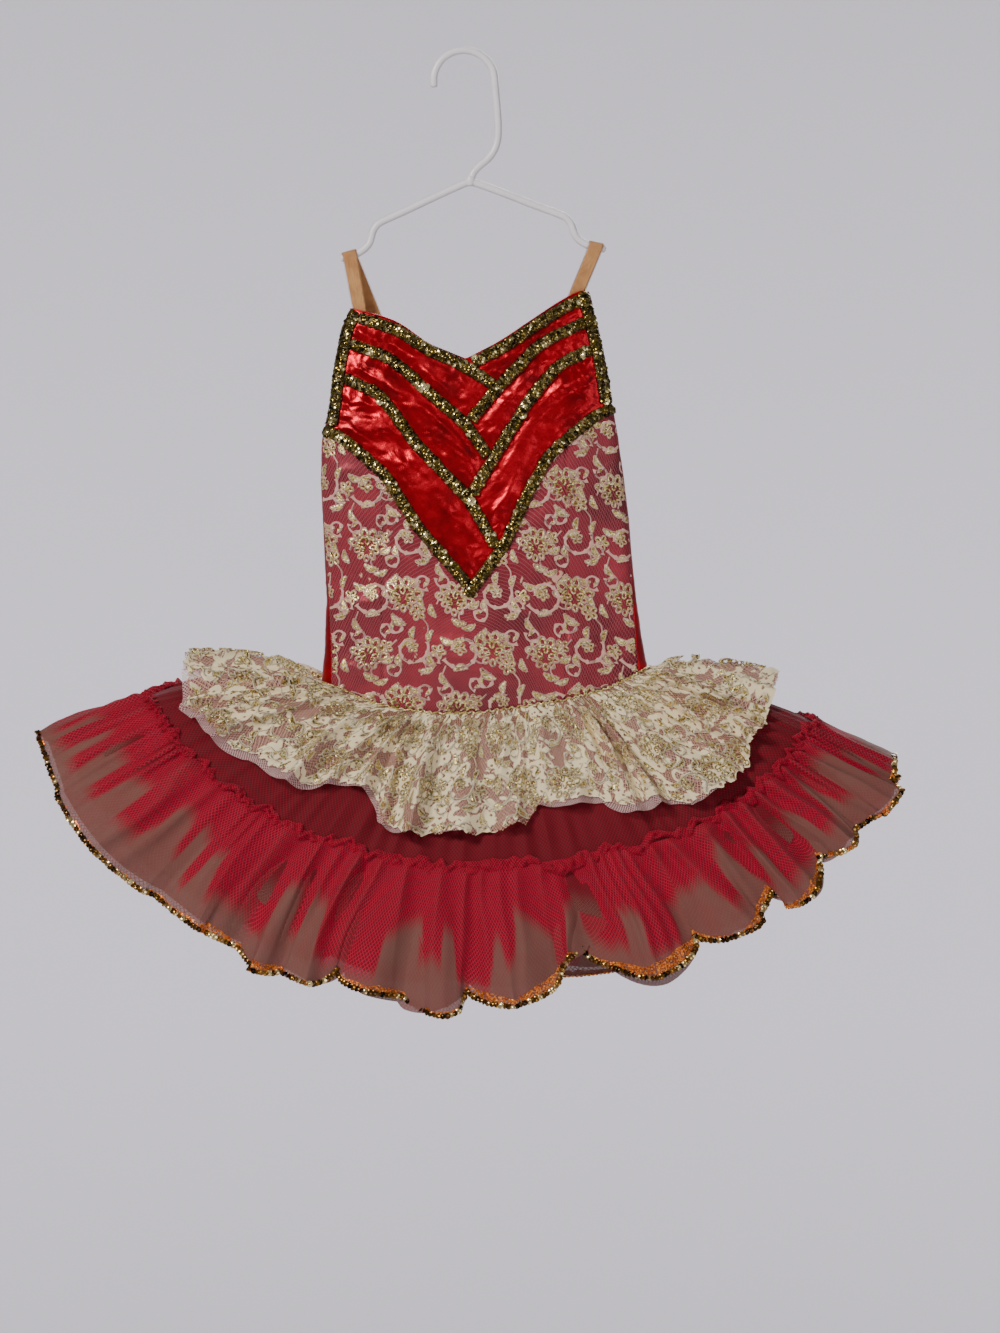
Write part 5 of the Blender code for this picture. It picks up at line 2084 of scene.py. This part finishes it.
@dataclass
class Overskirt:
    """The gathered lace overskirt and its pale net lining."""

    fan: SkirtFan
    palette: Palette
    design: LaceDesign
    fullness: float = 1.12
    tall: float = 130.0
    folds: FoldSet = field(default_factory=lambda: FoldSet(LACE_FOLDS))
    noise: Noise = field(default_factory=lambda: Noise(37))

    def ripple(self, turn: Array, share: Array) -> Array:
        """Make the small gathers between the folds.

        Args:
            turn: The turns.
            share: How far down the layer.

        Returns:
            Their height.
        """
        top = np.sin(np.radians(turn) * 96.0 + 2.2 * self.noise.at(turn / 5.0, 3.0)) * (1 - share) ** 2
        phase = np.radians(turn) * 24.0 + 3.2 * self.noise.at(turn / 11.0, share * 0.6)
        pleat = (0.62 - np.abs(np.sin(phase))) * (12.0 + 6.0 * self.noise.at(turn / 8.0, 5.0))
        broad = self.noise.at(turn / 4.0, share * 1.3) + 0.5 * self.noise.at(turn / 1.9 + 11.0, share * 2.0)
        return 0.8 * top + (pleat + 1.8 * broad) * np.minimum(share * 3.0, 1.0)

    def lift(self, turn: Array, reach: Array) -> Array:
        """Give the lace's height over the fan.

        Args:
            turn: The turns.
            reach: How far out.

        Returns:
            The height.
        """
        depth, hem = self.folds.at(turn)
        share = np.clip(reach / hem, 0.0, 1.0)
        ramp = np.clip(reach / 16.0, 0.0, 1.0)
        fold = depth * (0.12 + 0.88 * share ** 0.8)
        return 1.6 + np.maximum(1.8 + fold + self.ripple(turn, share), 2.6) * ramp

    def surface(self, turn: Array, reach: Array, over: Array | float) -> Array:
        """Find points over the lace."""
        return self.fan.lifted(turn, reach, self.lift(turn, reach) + over)

    def hem(self, turn: Array) -> Array:
        """Give the lace's uneven cut edge."""
        return (self.folds.at(turn)[1] + 2.2 * self.noise.at(turn / 1.2, 17.0)
                + 1.2 * self.noise.at(turn / 0.5, 19.0) + 0.8)

    def build(self) -> list[Object]:
        """Build the lace, its pattern, its hip seam and its lining.

        Returns:
            The pieces.
        """
        turn = self.folds.columns(32)
        share = row_shares(30)
        reach = 1.0 + (self.hem(turn) - 1.0) * share
        ground = self.fan.ring(turn, reach, self.lift(turn, reach), 1.0).build(
            "overskirt_net", self.palette.lace_net, Slot.LACE)
        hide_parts("overskirt_lace")
        hem = self.folds.at(turn)[1]
        longer = Curve(LINING_HEM, FULL_TURN)(turn)
        share = row_shares(18)
        reach = 16.0 + (hem + longer - 16.0) * share
        lining = self.fan.ring(turn, reach, self.lift(turn, reach) - 1.5, 0.0).build(
            "overskirt_lining_net", self.palette.lining, Slot.PALE_NET)
        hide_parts("overskirt_lining")
        return [ground, lining] + self.pattern() + self.hip_cord()

    def pattern(self) -> list[Object]:
        """Build the lace's cords and gold.

        Returns:
            The pieces.
        """
        turns = np.linspace(0.0, FULL_TURN, 1441)
        middle = self.surface(turns, 0.62 * self.folds.at(turns)[1], 0.0)
        way = path_lengths(middle) * self.fullness
        strokes = self.design.spread(float(way[-1]), self.tall)

        def inside(u: Array, v: Array) -> Array:
            """Say whether points lie on the lace."""
            hem = self.hem(np.interp(u, way, turns))
            return (u > 0.0) & (u < way[-1]) & (v > 2.0) & (v < hem - 0.4)

        def surface(u: Array, v: Array, lift: Array) -> Array:
            """Find points over the net."""
            return self.surface(np.interp(u, way, turns), np.clip(v, 1.0, 140.0), lift + 0.1)

        return lace_pieces(strokes, surface, inside, -500.0, Slot.LACE, (
            ("overskirt_cords", Thread.CORD, self.palette.cream),
            ("overskirt_gold", Thread.GOLD, self.palette.gold)))

    def hip_cord(self) -> list[Object]:
        """Build the metallic thread and the cord along the hip seam.

        Returns:
            The pieces.
        """
        turn = np.linspace(0.0, FULL_TURN, 900, endpoint=False)
        wave = 0.9 * np.sin(np.radians(turn) * 130.0 + 3.0 * self.noise.at(turn / 7.0, 1.0))
        path = self.fan.lifted(turn, 1.4 + wave, np.full(turn.shape, 2.9))
        front = (turn > 190.0) & (turn < 352.0)
        gold = tube_parts(path[front], 0.75, 6).build("hip_seam_gold", self.palette.gold, Slot.LACE)
        behind = np.concatenate([path[turn >= 352.0], path[turn <= 190.0]])
        plain = tube_parts(behind, 0.6, 6).build("hip_seam_thread", self.palette.cream, Slot.LACE)
        return [gold, plain]


@dataclass
class TulleSkirt:
    """The tier, the gathered ruffle, the net beneath it and its sequinned hem."""

    fan: SkirtFan
    palette: Palette
    scatter: Scatter
    dense_reach: float = 198.0
    dense_swing: float = 0.6
    band_share: float = 0.8
    folds: FoldSet = field(default_factory=lambda: FoldSet(RUFFLE_FOLDS))
    noise: Noise = field(default_factory=lambda: Noise(71))

    def seam(self, turn: Array) -> Array:
        """Give the gather seam's reach."""
        return Curve(GATHER_SEAM, FULL_TURN)(turn)

    def ruffle_lift(self, turn: Array, share: Array) -> Array:
        """Give the ruffle's height over the fan.

        Args:
            turn: The turns.
            share: How far from the gather seam to the hem.

        Returns:
            The height.
        """
        depth = self.folds.at(turn)[0]
        puff = 2.2 * np.exp(-((share - 0.07) / 0.09) ** 2)
        broad = self.noise.at(turn / 2.6, share * 1.2) + 0.6 * self.noise.at(turn / 1.3 + 5.0, share * 2.2)
        return (depth * share ** 0.8 + puff + 8.6 * self.pleat(turn, share)
                + 1.7 * broad * np.minimum(share * 2.5, 1.0))

    def pleat(self, turn: Array, share: Array) -> Array:
        """Make the sharp small gathers that run down from the gather seam.

        Args:
            turn: The turns.
            share: How far from the gather seam to the hem.

        Returns:
            Their height, from about -0.4 to 0.6.
        """
        phase = np.radians(turn) * 52.0 + 4.0 * self.noise.at(turn / 8.0, 2.0)
        phase = phase + 0.9 * self.noise.at(turn / 3.5, share * 1.4 + 12.0)
        wave = 0.6 - np.abs(np.sin(phase))
        strength = 0.75 + 0.5 * self.noise.at(turn / 5.0, 8.0)
        return wave * strength * np.minimum(share * 9.0 + 0.25, 1.0) * (1.0 - 0.5 * share)

    def ruffle(self, turn: Array, share: Array, over: float, longer: Array | float = 0.0) -> Array:
        """Find points over the ruffle.

        Args:
            turn: The turns.
            share: How far from the gather seam to the hem.
            over: How far over it.
            longer: How much further the hem reaches.

        Returns:
            The points.
        """
        turn, share = np.broadcast_arrays(turn, share)
        seam = self.seam(turn)
        hem = self.folds.at(turn)[1] + longer
        sway = 0.8 * self.noise.at(turn / 12.0, share * 1.7 + 3.0) * np.sin(math.pi * share)
        sway = sway + 1.5 * self.noise.at(turn / 2.1, 51.0) * share ** 2
        return self.fan.lifted(turn + sway, seam + (hem - seam) * share,
                               self.ruffle_lift(turn, share) + over)

    def build(self) -> list[Object]:
        """Build every layer and the hem."""
        return [self.tier(), self.petticoat(), self.under_ruffle(), self.outer_ruffle(),
                self.heading()] + self.hem()

    def tier(self) -> Object:
        """Build the gathered tier under the overskirt.

        Returns:
            The piece.
        """
        turn = self.folds.columns(26)
        share = row_shares(24)
        reach = 0.6 + (self.seam(turn) - 0.6) * share
        small = np.sin(np.radians(turn) * 110.0 + 2.0 * self.noise.at(turn / 5.0, 21.0))
        phase = np.radians(turn) * 40.0 + 3.0 * self.noise.at(turn / 9.0, 25.0)
        fold = 0.6 * small + 2.4 * (0.6 - np.abs(np.sin(phase)))
        fold = fold + 1.2 * self.noise.at(turn / 3.0, share * 2.0 + 40.0)
        shown = 0.15 + 0.85 * smooth_step(reach, 84.0, 112.0)
        lift = fold * shown * np.minimum((1.0 - share) * 6.0 + 0.3, 1.0)
        piece = self.fan.ring(turn, reach, lift - 0.4, 1.0).build(
            "tier_tulle", self.palette.tulle, Slot.TULLE)
        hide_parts("skirt_tier")
        return piece

    def petticoat(self) -> Object:
        """Build the dense net under the ruffle, with its uneven hem.

        Returns:
            The piece.
        """
        turn = self.folds.columns(22)
        share = row_shares(26)
        depth, hem = self.folds.at(turn)
        bottom = self.dense_hem(turn) + 3.0 * self.noise.at(turn / 0.9, 60.0)
        reach = 104.0 + (bottom - 104.0) * share
        seam = self.seam(turn)
        below = np.clip((reach - seam) / (hem - seam), 0.0, 1.0)
        own = self.noise.at(turn / 2.2, share * 1.5 + 50.0)
        own = own + 0.5 * self.noise.at(turn / 1.1, share * 2.0 + 55.0)
        lift = -2.4 + 0.5 * depth * below ** 0.8 + 2.0 * own * np.minimum(below * 4.0, 1.0)
        piece = self.fan.ring(turn, reach, lift, 1.0 - smooth_step(share, 0.7, 1.0)).build(
            "petticoat_tulle", self.palette.tulle, Slot.TULLE)
        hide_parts("petticoat")
        return piece

    def dense_share(self, turn: Array, reach: Array) -> Array:
        """Say how dense the sheer layers look.

        Args:
            turn: The turns.
            reach: How far out.

        Returns:
            A share from 1 over the dense net to 0 near the hem.
        """
        panel = np.tanh(18.0 * self.noise.at(turn / 2.0, 80.0))
        streak = 19.0 * panel + 3.0 * self.noise.at(turn / 0.8, 84.0)
        start = self.dense_hem(turn) + streak - 6.0
        return 1.0 - smooth_step(reach, start, start + 20.0)

    def dense_hem(self, turn: Array) -> Array:
        """Give the dense net's hem."""
        return self.dense_reach + self.dense_swing * (Curve(DENSE_HEM, FULL_TURN)(turn) - self.dense_reach)

    def outer_ruffle(self) -> Object:
        """Build the sheer ruffle.

        Returns:
            The piece.
        """
        turn = self.folds.columns(40)
        share = row_shares(34)
        seam = self.seam(turn)
        reach = seam + (self.folds.at(turn)[1] - seam) * share
        dense = self.dense_share(np.broadcast_to(turn, reach.shape), reach)
        # A tone change by pleat: denser crimson in the valleys and sheerer taupe on the crests, standing
        # partly for painted shade in the valleys and partly for the net crowding there.
        dense = np.clip(dense - 0.35 * self.pleat(turn, share), 0.0, 1.0)
        piece = grid_parts(self.ruffle(turn, share, 0.0), True, dense).build(
            "ruffle_tulle", self.palette.sheer, Slot.SHEER)
        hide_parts("skirt_ruffle")
        return piece

    def under_ruffle(self) -> Object:
        """Build the plain sheer layer that hangs below the hem in places.

        Returns:
            The piece.
        """
        turn = self.folds.columns(20)
        share = row_shares(22)
        longer = Curve(UNDER_LONGER, FULL_TURN)(turn)
        seam = self.seam(turn)
        reach = seam + (self.folds.at(turn)[1] + longer - seam) * share
        dense = 0.8 * self.dense_share(np.broadcast_to(turn, reach.shape), reach)
        own = 1.2 * self.noise.at(turn / 3.1, share * 1.5 + 90.0) * share
        points = self.ruffle(turn, share, 0.0, longer)
        centre = self.fan.lifted(np.broadcast_to(turn, reach.shape), reach,
                                 0.62 * self.ruffle_lift(turn, share) - 1.2 + own)
        piece = grid_parts(np.where(share[..., None] < 0.04, points, centre), True, dense).build(
            "under_ruffle_tulle", self.palette.sheer, Slot.SHEER)
        return piece

    def heading(self) -> Object:
        """Build the ruched heading of the ruffle.

        Returns:
            The piece.
        """
        turn = np.arange(0.0, FULL_TURN, 0.22)
        share = row_shares(9)
        edge = 4.0 * self.noise.at(turn / 1.1, 100.0) + 3.0 * self.noise.at(turn / 3.4, 104.0)
        width = 9.0 + 3.5 * self.noise.at(turn / 1.7, 107.0)
        reach = self.seam(turn) - 4.0 + edge + width * share
        crumple = self.noise.at(turn / 0.7, share * 3.0 + 110.0)
        crumple = crumple + 0.6 * self.noise.at(turn / 0.4, share * 5.0)
        lift = 1.4 + 2.6 * np.sin(math.pi * share) + 2.4 * crumple * np.sin(math.pi * (0.1 + 0.8 * share))
        piece = self.fan.ring(turn, reach, lift, 1.0).build(
            "gather_heading", self.palette.ruche, Slot.SHEER)
        return piece

    def hem(self) -> list[Object]:
        """Build the hem's gold band, thread and sequins.

        Returns:
            The pieces.
        """
        turn = self.folds.columns(30)
        width = self.band_share * Curve(BAND_WIDTH, FULL_TURN)(turn)
        tall = self.folds.at(turn)[1] - self.seam(turn)
        width = width + 1.5 * self.noise.at(turn / 0.8, 33.0)
        share = 1.0 - width / tall * np.linspace(1.0, 0.0, 5)[:, None]
        band = grid_parts(self.ruffle(turn, share, 0.35), True, np.zeros(share.size)).build(
            "hem_band", self.palette.band, Slot.SHEER)
        fine = np.sort(np.concatenate([turn, turn + 0.2]))
        path = self.ruffle(fine, np.ones(fine.shape), 0.1)
        closed = np.concatenate([path, path[:1]])
        cord = tube_parts(closed, 0.8, 6).build("hem_thread", self.palette.overlock, Slot.SHEER)
        even = resample(closed, 3.6)[:-1]
        along = unit(np.roll(even, -1, axis=0) - np.roll(even, 1, axis=0))
        nearest = np.argmin(np.linalg.norm(closed[None, ::3] - even[:, None], axis=2), axis=1) * 3
        inner = self.ruffle(fine, np.full(fine.shape, 0.97), 0.1)
        up = unit(np.concatenate([inner, inner[:1]])[nearest] - closed[nearest])
        out = unit(np.cross(along, up))
        random = np.random.default_rng(7)
        count = len(even)
        outward = np.sign(np.sum(out * (even - np.array([MIDDLE_X, 0.0, -620.0])), axis=1))
        out = out * outward[:, None]
        points = even + up * 1.0 + out * (0.9 + random.uniform(-0.2, 0.3, count))[:, None]
        lean = along * random.uniform(0.15, 0.6, count)[:, None]
        lean = lean + up * random.uniform(-0.5, 0.4, count)[:, None]
        # Each hem sequin's tone spreads at random from dark to bright: painted shade and painted glints.
        tint = random.beta(0.9, 1.4, count)
        sites = Sites(points, unit(out - lean), along, random.uniform(0.85, 1.1, count), tint)
        sequins = self.scatter.run("hem_sequin_row", sites, cup_template(2.7, 10), 12.0, 3,
                                   self.palette.hem_sequin, Slot.SHEER)
        return [band, cord, sequins]


@dataclass
class Straps:
    """Two elastic straps with picot edges and their stitches."""

    body: BodyForm
    hanger: Hanger
    palette: Palette
    scatter: Scatter
    width: float = 11.0
    wall: float = 1.0
    satin: float = 1.2
    gap: float = 0.4
    half: float = 0.6

    def edges(self, neck_x: float, neck_z: float, out: float, back_x: float, back_z: float) -> Array:
        """Find both edges of a strap along its way.

        Args:
            neck_x: Where it crosses the neck edge.
            neck_z: The height there.
            out: Where it lies on the rod.
            back_x: Where it crosses the back's top edge.
            back_z: The height there.

        Returns:
            Stations by two edges, as points.
        """
        inside = self.satin + self.gap + self.half
        body = self.body
        half = self.width / 2

        def lapped(x: float, z: float, behind: bool) -> Array:
            """Find both edges where the strap lies behind the cloth.

            Args:
                x: The strap's middle.
                z: The height.
                behind: Whether it is the back's cloth.

            Returns:
                Both points.
            """
            spots = np.array([x - half, x + half])
            heights = np.array([z, z])
            turn = body.turn_of_front(spots, heights)
            turn = FULL_TURN - turn if behind else turn
            return body.point(turn, heights) - body.normal(turn, heights) * inside

        along = unit(self.hanger.arm_point(out + 2.0) - self.hanger.arm_point(out - 2.0))
        upward = np.array([-along[2], 0.0, along[0]])
        centre = self.hanger.arm_point(out)
        reach = self.hanger.radius + self.gap + self.half
        lean = (centre[0] - neck_x) / (centre[2] - neck_z)
        stations = [lapped(neck_x + lean * drop, neck_z + drop, False) for drop in (-9.0, -4.5, 0.0)]
        arc = []
        for turn in np.linspace(0.0, math.pi, 17):
            spot = centre + reach * (upward * math.sin(turn) - np.array([0.0, math.cos(turn), 0.0]))
            arc.append(np.array([spot - along * half, spot + along * half]))
        front = [stations[-1] + (arc[0] - stations[-1]) * share for share in np.linspace(0.0, 1.0, 24)[1:-1]]
        lean = (centre[0] - back_x) / (centre[2] - back_z)
        foot = lapped(back_x, back_z, True)
        rear = [arc[-1] + (foot - arc[-1]) * share for share in np.linspace(0.0, 1.0, 40)[1:-1]]
        end = [lapped(back_x + lean * drop, back_z + drop, True) for drop in (0.0, -4.5, -9.0)]
        return np.array(stations + front + arc + rear + end)

    def build(self) -> list[Object]:
        """Build both straps.

        Returns:
            The pieces.
        """
        pieces = []
        for number, (name, *where) in enumerate(STRAPS):
            edges = self.edges(*where)
            shares = np.linspace(0.0, 1.0, 13)
            grid = edges[:, :1] + (edges[:, 1:] - edges[:, :1]) * shares[None, :, None]
            run = unit(np.gradient(grid.mean(axis=1), axis=0))
            normal = unit(np.cross(run, unit(edges[:, 1] - edges[:, 0])))
            rib = 0.1 * np.cos(shares * math.pi * 12.0)
            grid = grid + normal[:, None] * (self.wall / 2 + rib)[..., None]
            parts = grid_parts(grid.transpose(1, 0, 2), False)
            parts.faces = parts.faces[:, ::-1]
            parts.corners = parts.corners[:, ::-1]
            strap = parts.build(name + "_elastic", self.palette.elastic, Slot.ELASTIC)
            thicken(strap, self.wall)
            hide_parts(name)
            pieces.append(strap)
            pieces.append(self.picots(name, edges, normal, number))
            pieces.append(self.stitches(name, edges, normal, number))
        return pieces

    def picots(self, name: str, edges: Array, normal: Array, number: int) -> Object:
        """Build the small loops along both edges.

        Args:
            name: The strap's name.
            edges: Its edges.
            normal: Its outward directions.
            number: Its number.

        Returns:
            The piece.
        """
        found: list[list[Array]] = [[], [], []]
        for side in (0, 1):
            line = edges[3:-3, side]
            even = resample(line, 1.35)
            walked, lengths = path_lengths(even), path_lengths(line)
            share = walked / walked[-1] * lengths[-1]
            other = edges[3:-3, 1 - side]
            out = points_at(normal[3:-3], lengths, share)
            away = points_at(line - other, lengths, share)
            found[0].append(even - unit(away) * 0.15)
            found[1].append(out)
            found[2].append(unit(away))
        sites = Sites.alike(*(np.concatenate(part) for part in found))
        return self.scatter.run(name + "_picots", sites, loop_template(1.15, 0.16), 5.0, 20 + number,
                                self.palette.elastic, Slot.ELASTIC)

    def stitches(self, name: str, edges: Array, normal: Array, number: int) -> Object:
        """Build the loose brown stitches down the strap's back run.

        Args:
            name: The strap's name.
            edges: Its edges.
            normal: Its outward directions.
            number: Its number.

        Returns:
            The piece.
        """
        line = edges[:, 0] + (edges[:, 1] - edges[:, 0]) * 0.62
        random = np.random.default_rng(60 + number)
        part = slice(3, 24)
        even = resample(line[part], 3.4)
        count = len(even)
        along = unit(np.gradient(even, axis=0))
        out = np.repeat(normal[part].mean(axis=0)[None], count, axis=0)
        side = np.cross(out, along)
        zigzag = np.where(np.arange(count) % 2, 1.0, -1.0) * random.uniform(0.2, 0.7, count)
        points = even + side * zigzag[:, None] + out * 0.62
        sites = Sites(points, out, unit(along + side * zigzag[:, None] * 1.2),
                      random.uniform(0.7, 1.1, count), np.full(count, 0.5))
        return self.scatter.run(name + "_stitches", sites, bar_template(2.3, 0.16), 8.0, 30 + number,
                                self.palette.stitch, Slot.ELASTIC)


@dataclass
class Hanger:
    """The moulded plastic hanger."""

    palette: Palette
    radius: float = 3.25
    inner: float = 22.75
    tilt: float = 2.0
    foot_x: float = 5.5
    foot_z: float = -109.0

    def arm_point(self, out: float) -> Array:
        """Find the middle line of an arm.

        Args:
            out: The distance out from the neck's foot.

        Returns:
            The point.
        """
        rows = np.array(ARM)
        down = np.interp(abs(out), rows[:, 0], rows[:, 1])
        tilt = math.radians(self.tilt)
        x = self.foot_x + out * math.cos(tilt) + down * math.sin(tilt)
        z = self.foot_z - down * math.cos(tilt) + out * math.sin(tilt)
        return np.array([x, 0.0, z])

    def rod(self, path: Array) -> MeshParts:
        """Make a rod with round tips.

        Args:
            path: Its middle line.

        Returns:
            The mesh's parts.
        """
        along = unit(path[-1] - path[-2])
        back = unit(path[0] - path[1])
        cap = np.linspace(0.0, math.pi / 2, 6)[1:-1]
        head = np.array([path[0] + back * self.radius * 0.7 * math.sin(turn) for turn in cap[::-1]])
        tail = np.array([path[-1] + along * self.radius * 0.7 * math.sin(turn) for turn in cap])
        sizes = np.concatenate([np.cos(cap[::-1]), np.ones(len(path)), np.cos(cap)]) * self.radius
        return tube_parts(np.concatenate([head, path, tail]), sizes, 20)

    def build(self) -> list[Object]:
        """Build the hook, the neck and the arms.

        Returns:
            The pieces.
        """
        turns = np.radians(np.linspace(188.0, 0.0, 40))
        radius = self.inner + self.radius
        hook = np.stack([radius * np.cos(turns), -self.inner + radius * np.sin(turns)], axis=1)
        line = rounded(np.concatenate([hook[::4], np.array(HOOK_TAIL)]), 1.6)
        stem = np.insert(line, 1, 0.0, axis=1)
        outs = np.concatenate([-np.array(ARM)[::-1, 0], np.array(ARM)[1:, 0]])
        arm = np.array([self.arm_point(out) for out in outs])[:, [0, 2]]
        arms = np.insert(rounded(arm, 1.6), 1, 0.0, axis=1)
        neck = np.array([[self.foot_x, 0.0, z] for z in np.linspace(-104.0, -112.0, 9)])
        collar = tube_parts(neck, self.radius * (1.0 + 0.35 * np.sin(np.linspace(0.3, 2.84, 9))), 20)
        piece = join_parts([self.rod(stem), self.rod(arms), collar]).build(
            "hanger_rod", self.palette.plastic, Slot.PLASTIC)
        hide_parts("hanger")
        return [piece]


@dataclass(frozen=True)
class Studio:
    """Camera, lights and backdrop."""

    distance: float = 4.0
    view_height: float = 1.133
    aim: tuple = (0.0306, -0.5206)
    reach: float = 8.0
    floor: float = -2.4
    top: float = 6.0
    bend: float = 1.0

    def build(self) -> None:
        """Set everything up."""
        self.camera()
        self.backdrop()
        for name, where, size, power, tint in (
                ("key", (-1.7, -2.1, 1.1), 0.6, 78.0, (1.0, 0.98, 0.95)),
                ("fill", (1.9, -2.0, 0.1), 1.4, 13.0, (0.97, 0.98, 1.0)),
                ("low", (0.1, -1.8, -1.5), 1.0, 8.0, (1.0, 0.97, 0.97)),
                ("rear", (0.6, 1.9, 0.9), 1.4, 34.0, (1.0, 1.0, 1.0))):
            self.light(name, where, size, power, tint, (self.aim[0], 0.0, self.aim[1]))
        for name, side in (("wall_left", -1.0), ("wall_right", 1.0)):
            self.light(name, (side * 2.8, 3.6, -0.5), 2.0, 125.0, (1.0, 1.0, 1.0), (side * 0.7, 8.0, -0.5))
        world = bpy.data.worlds.new("studio")
        world.use_nodes = True
        background = world.node_tree.nodes["Background"]
        background.inputs[0].default_value = (0.92, 0.92, 0.95, 1.0)
        background.inputs[1].default_value = 0.22
        bpy.context.scene.world = world

    def camera(self) -> None:
        """Place the camera straight in front."""
        data = bpy.data.cameras.new("camera")
        data.sensor_width = 36.0
        data.lens = 36.0 * self.distance / self.view_height
        data.clip_end = 30.0
        eye = bpy.data.objects.new("camera", data)
        eye.location = (self.aim[0], -self.distance, self.aim[1])
        eye.rotation_euler = (math.pi / 2, 0.0, 0.0)
        show(eye)
        bpy.context.scene.camera = eye

    def light(self, name: str, where: tuple, size: float, power: float, tint: tuple, aim: tuple) -> None:
        """Place one soft light.

        Args:
            name: Its name.
            where: Its place.
            size: Its size.
            power: Its power in watts.
            tint: Its colour.
            aim: What it points at.
        """
        data = bpy.data.lights.new(name, "AREA")
        data.shape, data.size, data.energy, data.color = "DISK", size, power, tint
        lamp = bpy.data.objects.new(name, data)
        lamp.location = where
        away = np.array(where) - np.array(aim)
        lamp.rotation_euler = (math.acos(away[2] / np.linalg.norm(away)), 0.0,
                               math.atan2(away[1], away[0]) + math.pi / 2)
        show(lamp)

    def backdrop(self) -> None:
        """Build the floor and wall as one curved sweep."""
        start = self.reach - self.bend
        bend = [(start + self.bend * math.sin(a), self.floor + self.bend - self.bend * math.cos(a))
                for a in np.linspace(0.0, math.pi / 2, 14)]
        line = [(-self.reach, self.floor)] + bend + [(self.reach, self.top)]
        points = [(x, y, z) for y, z in line for x in (-self.reach, self.reach)]
        faces = [(2 * i, 2 * i + 1, 2 * i + 3, 2 * i + 2) for i in range(len(line) - 1)]
        mesh = bpy.data.meshes.new("backdrop")
        mesh.from_pydata(points, [], faces)
        for polygon in mesh.polygons:
            polygon.use_smooth = True
        material, bench, surface = start_material("backdrop_paper", roughness=0.9)
        spot = bench.add("ShaderNodeTexCoord").outputs["Object"]
        grain = bench.add("ShaderNodeTexNoise", {"Vector": spot, "Scale": 3.0}).outputs["Fac"]
        tone = bench.mix(bench.math("MULTIPLY", grain, 0.2), colour(230, 225, 234), colour(216, 210, 222))
        bench.link(tone, surface, "Base Color")
        mesh.materials.append(material)
        sweep = bpy.data.objects.new("backdrop", mesh)
        show(sweep)


def main() -> None:
    """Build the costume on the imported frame."""
    logging.basicConfig(level=logging.INFO, format="%(name)s: %(message)s")
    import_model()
    palette = Palette()
    scatter = Scatter()
    body = BodyForm()
    cloth = FrontCloth(body)
    fan = SkirtFan(body)
    design = LaceDesign()
    hanger = Hanger(palette)
    makers = (
        hanger,
        Straps(body, hanger, palette, scatter),
        Bodice(cloth, palette, scatter),
        SequinTrims(cloth, palette, scatter),
        FrontLace(cloth, palette, design),
        Overskirt(fan, palette, design),
        TulleSkirt(fan, palette, scatter),
    )
    for maker in makers:
        for piece in maker.build():
            LOG.info("%s: %d faces", piece.name, len(piece.data.polygons))
    Studio().build()
    bpy.context.view_layer.update()


if __name__ == "__main__":
    main()
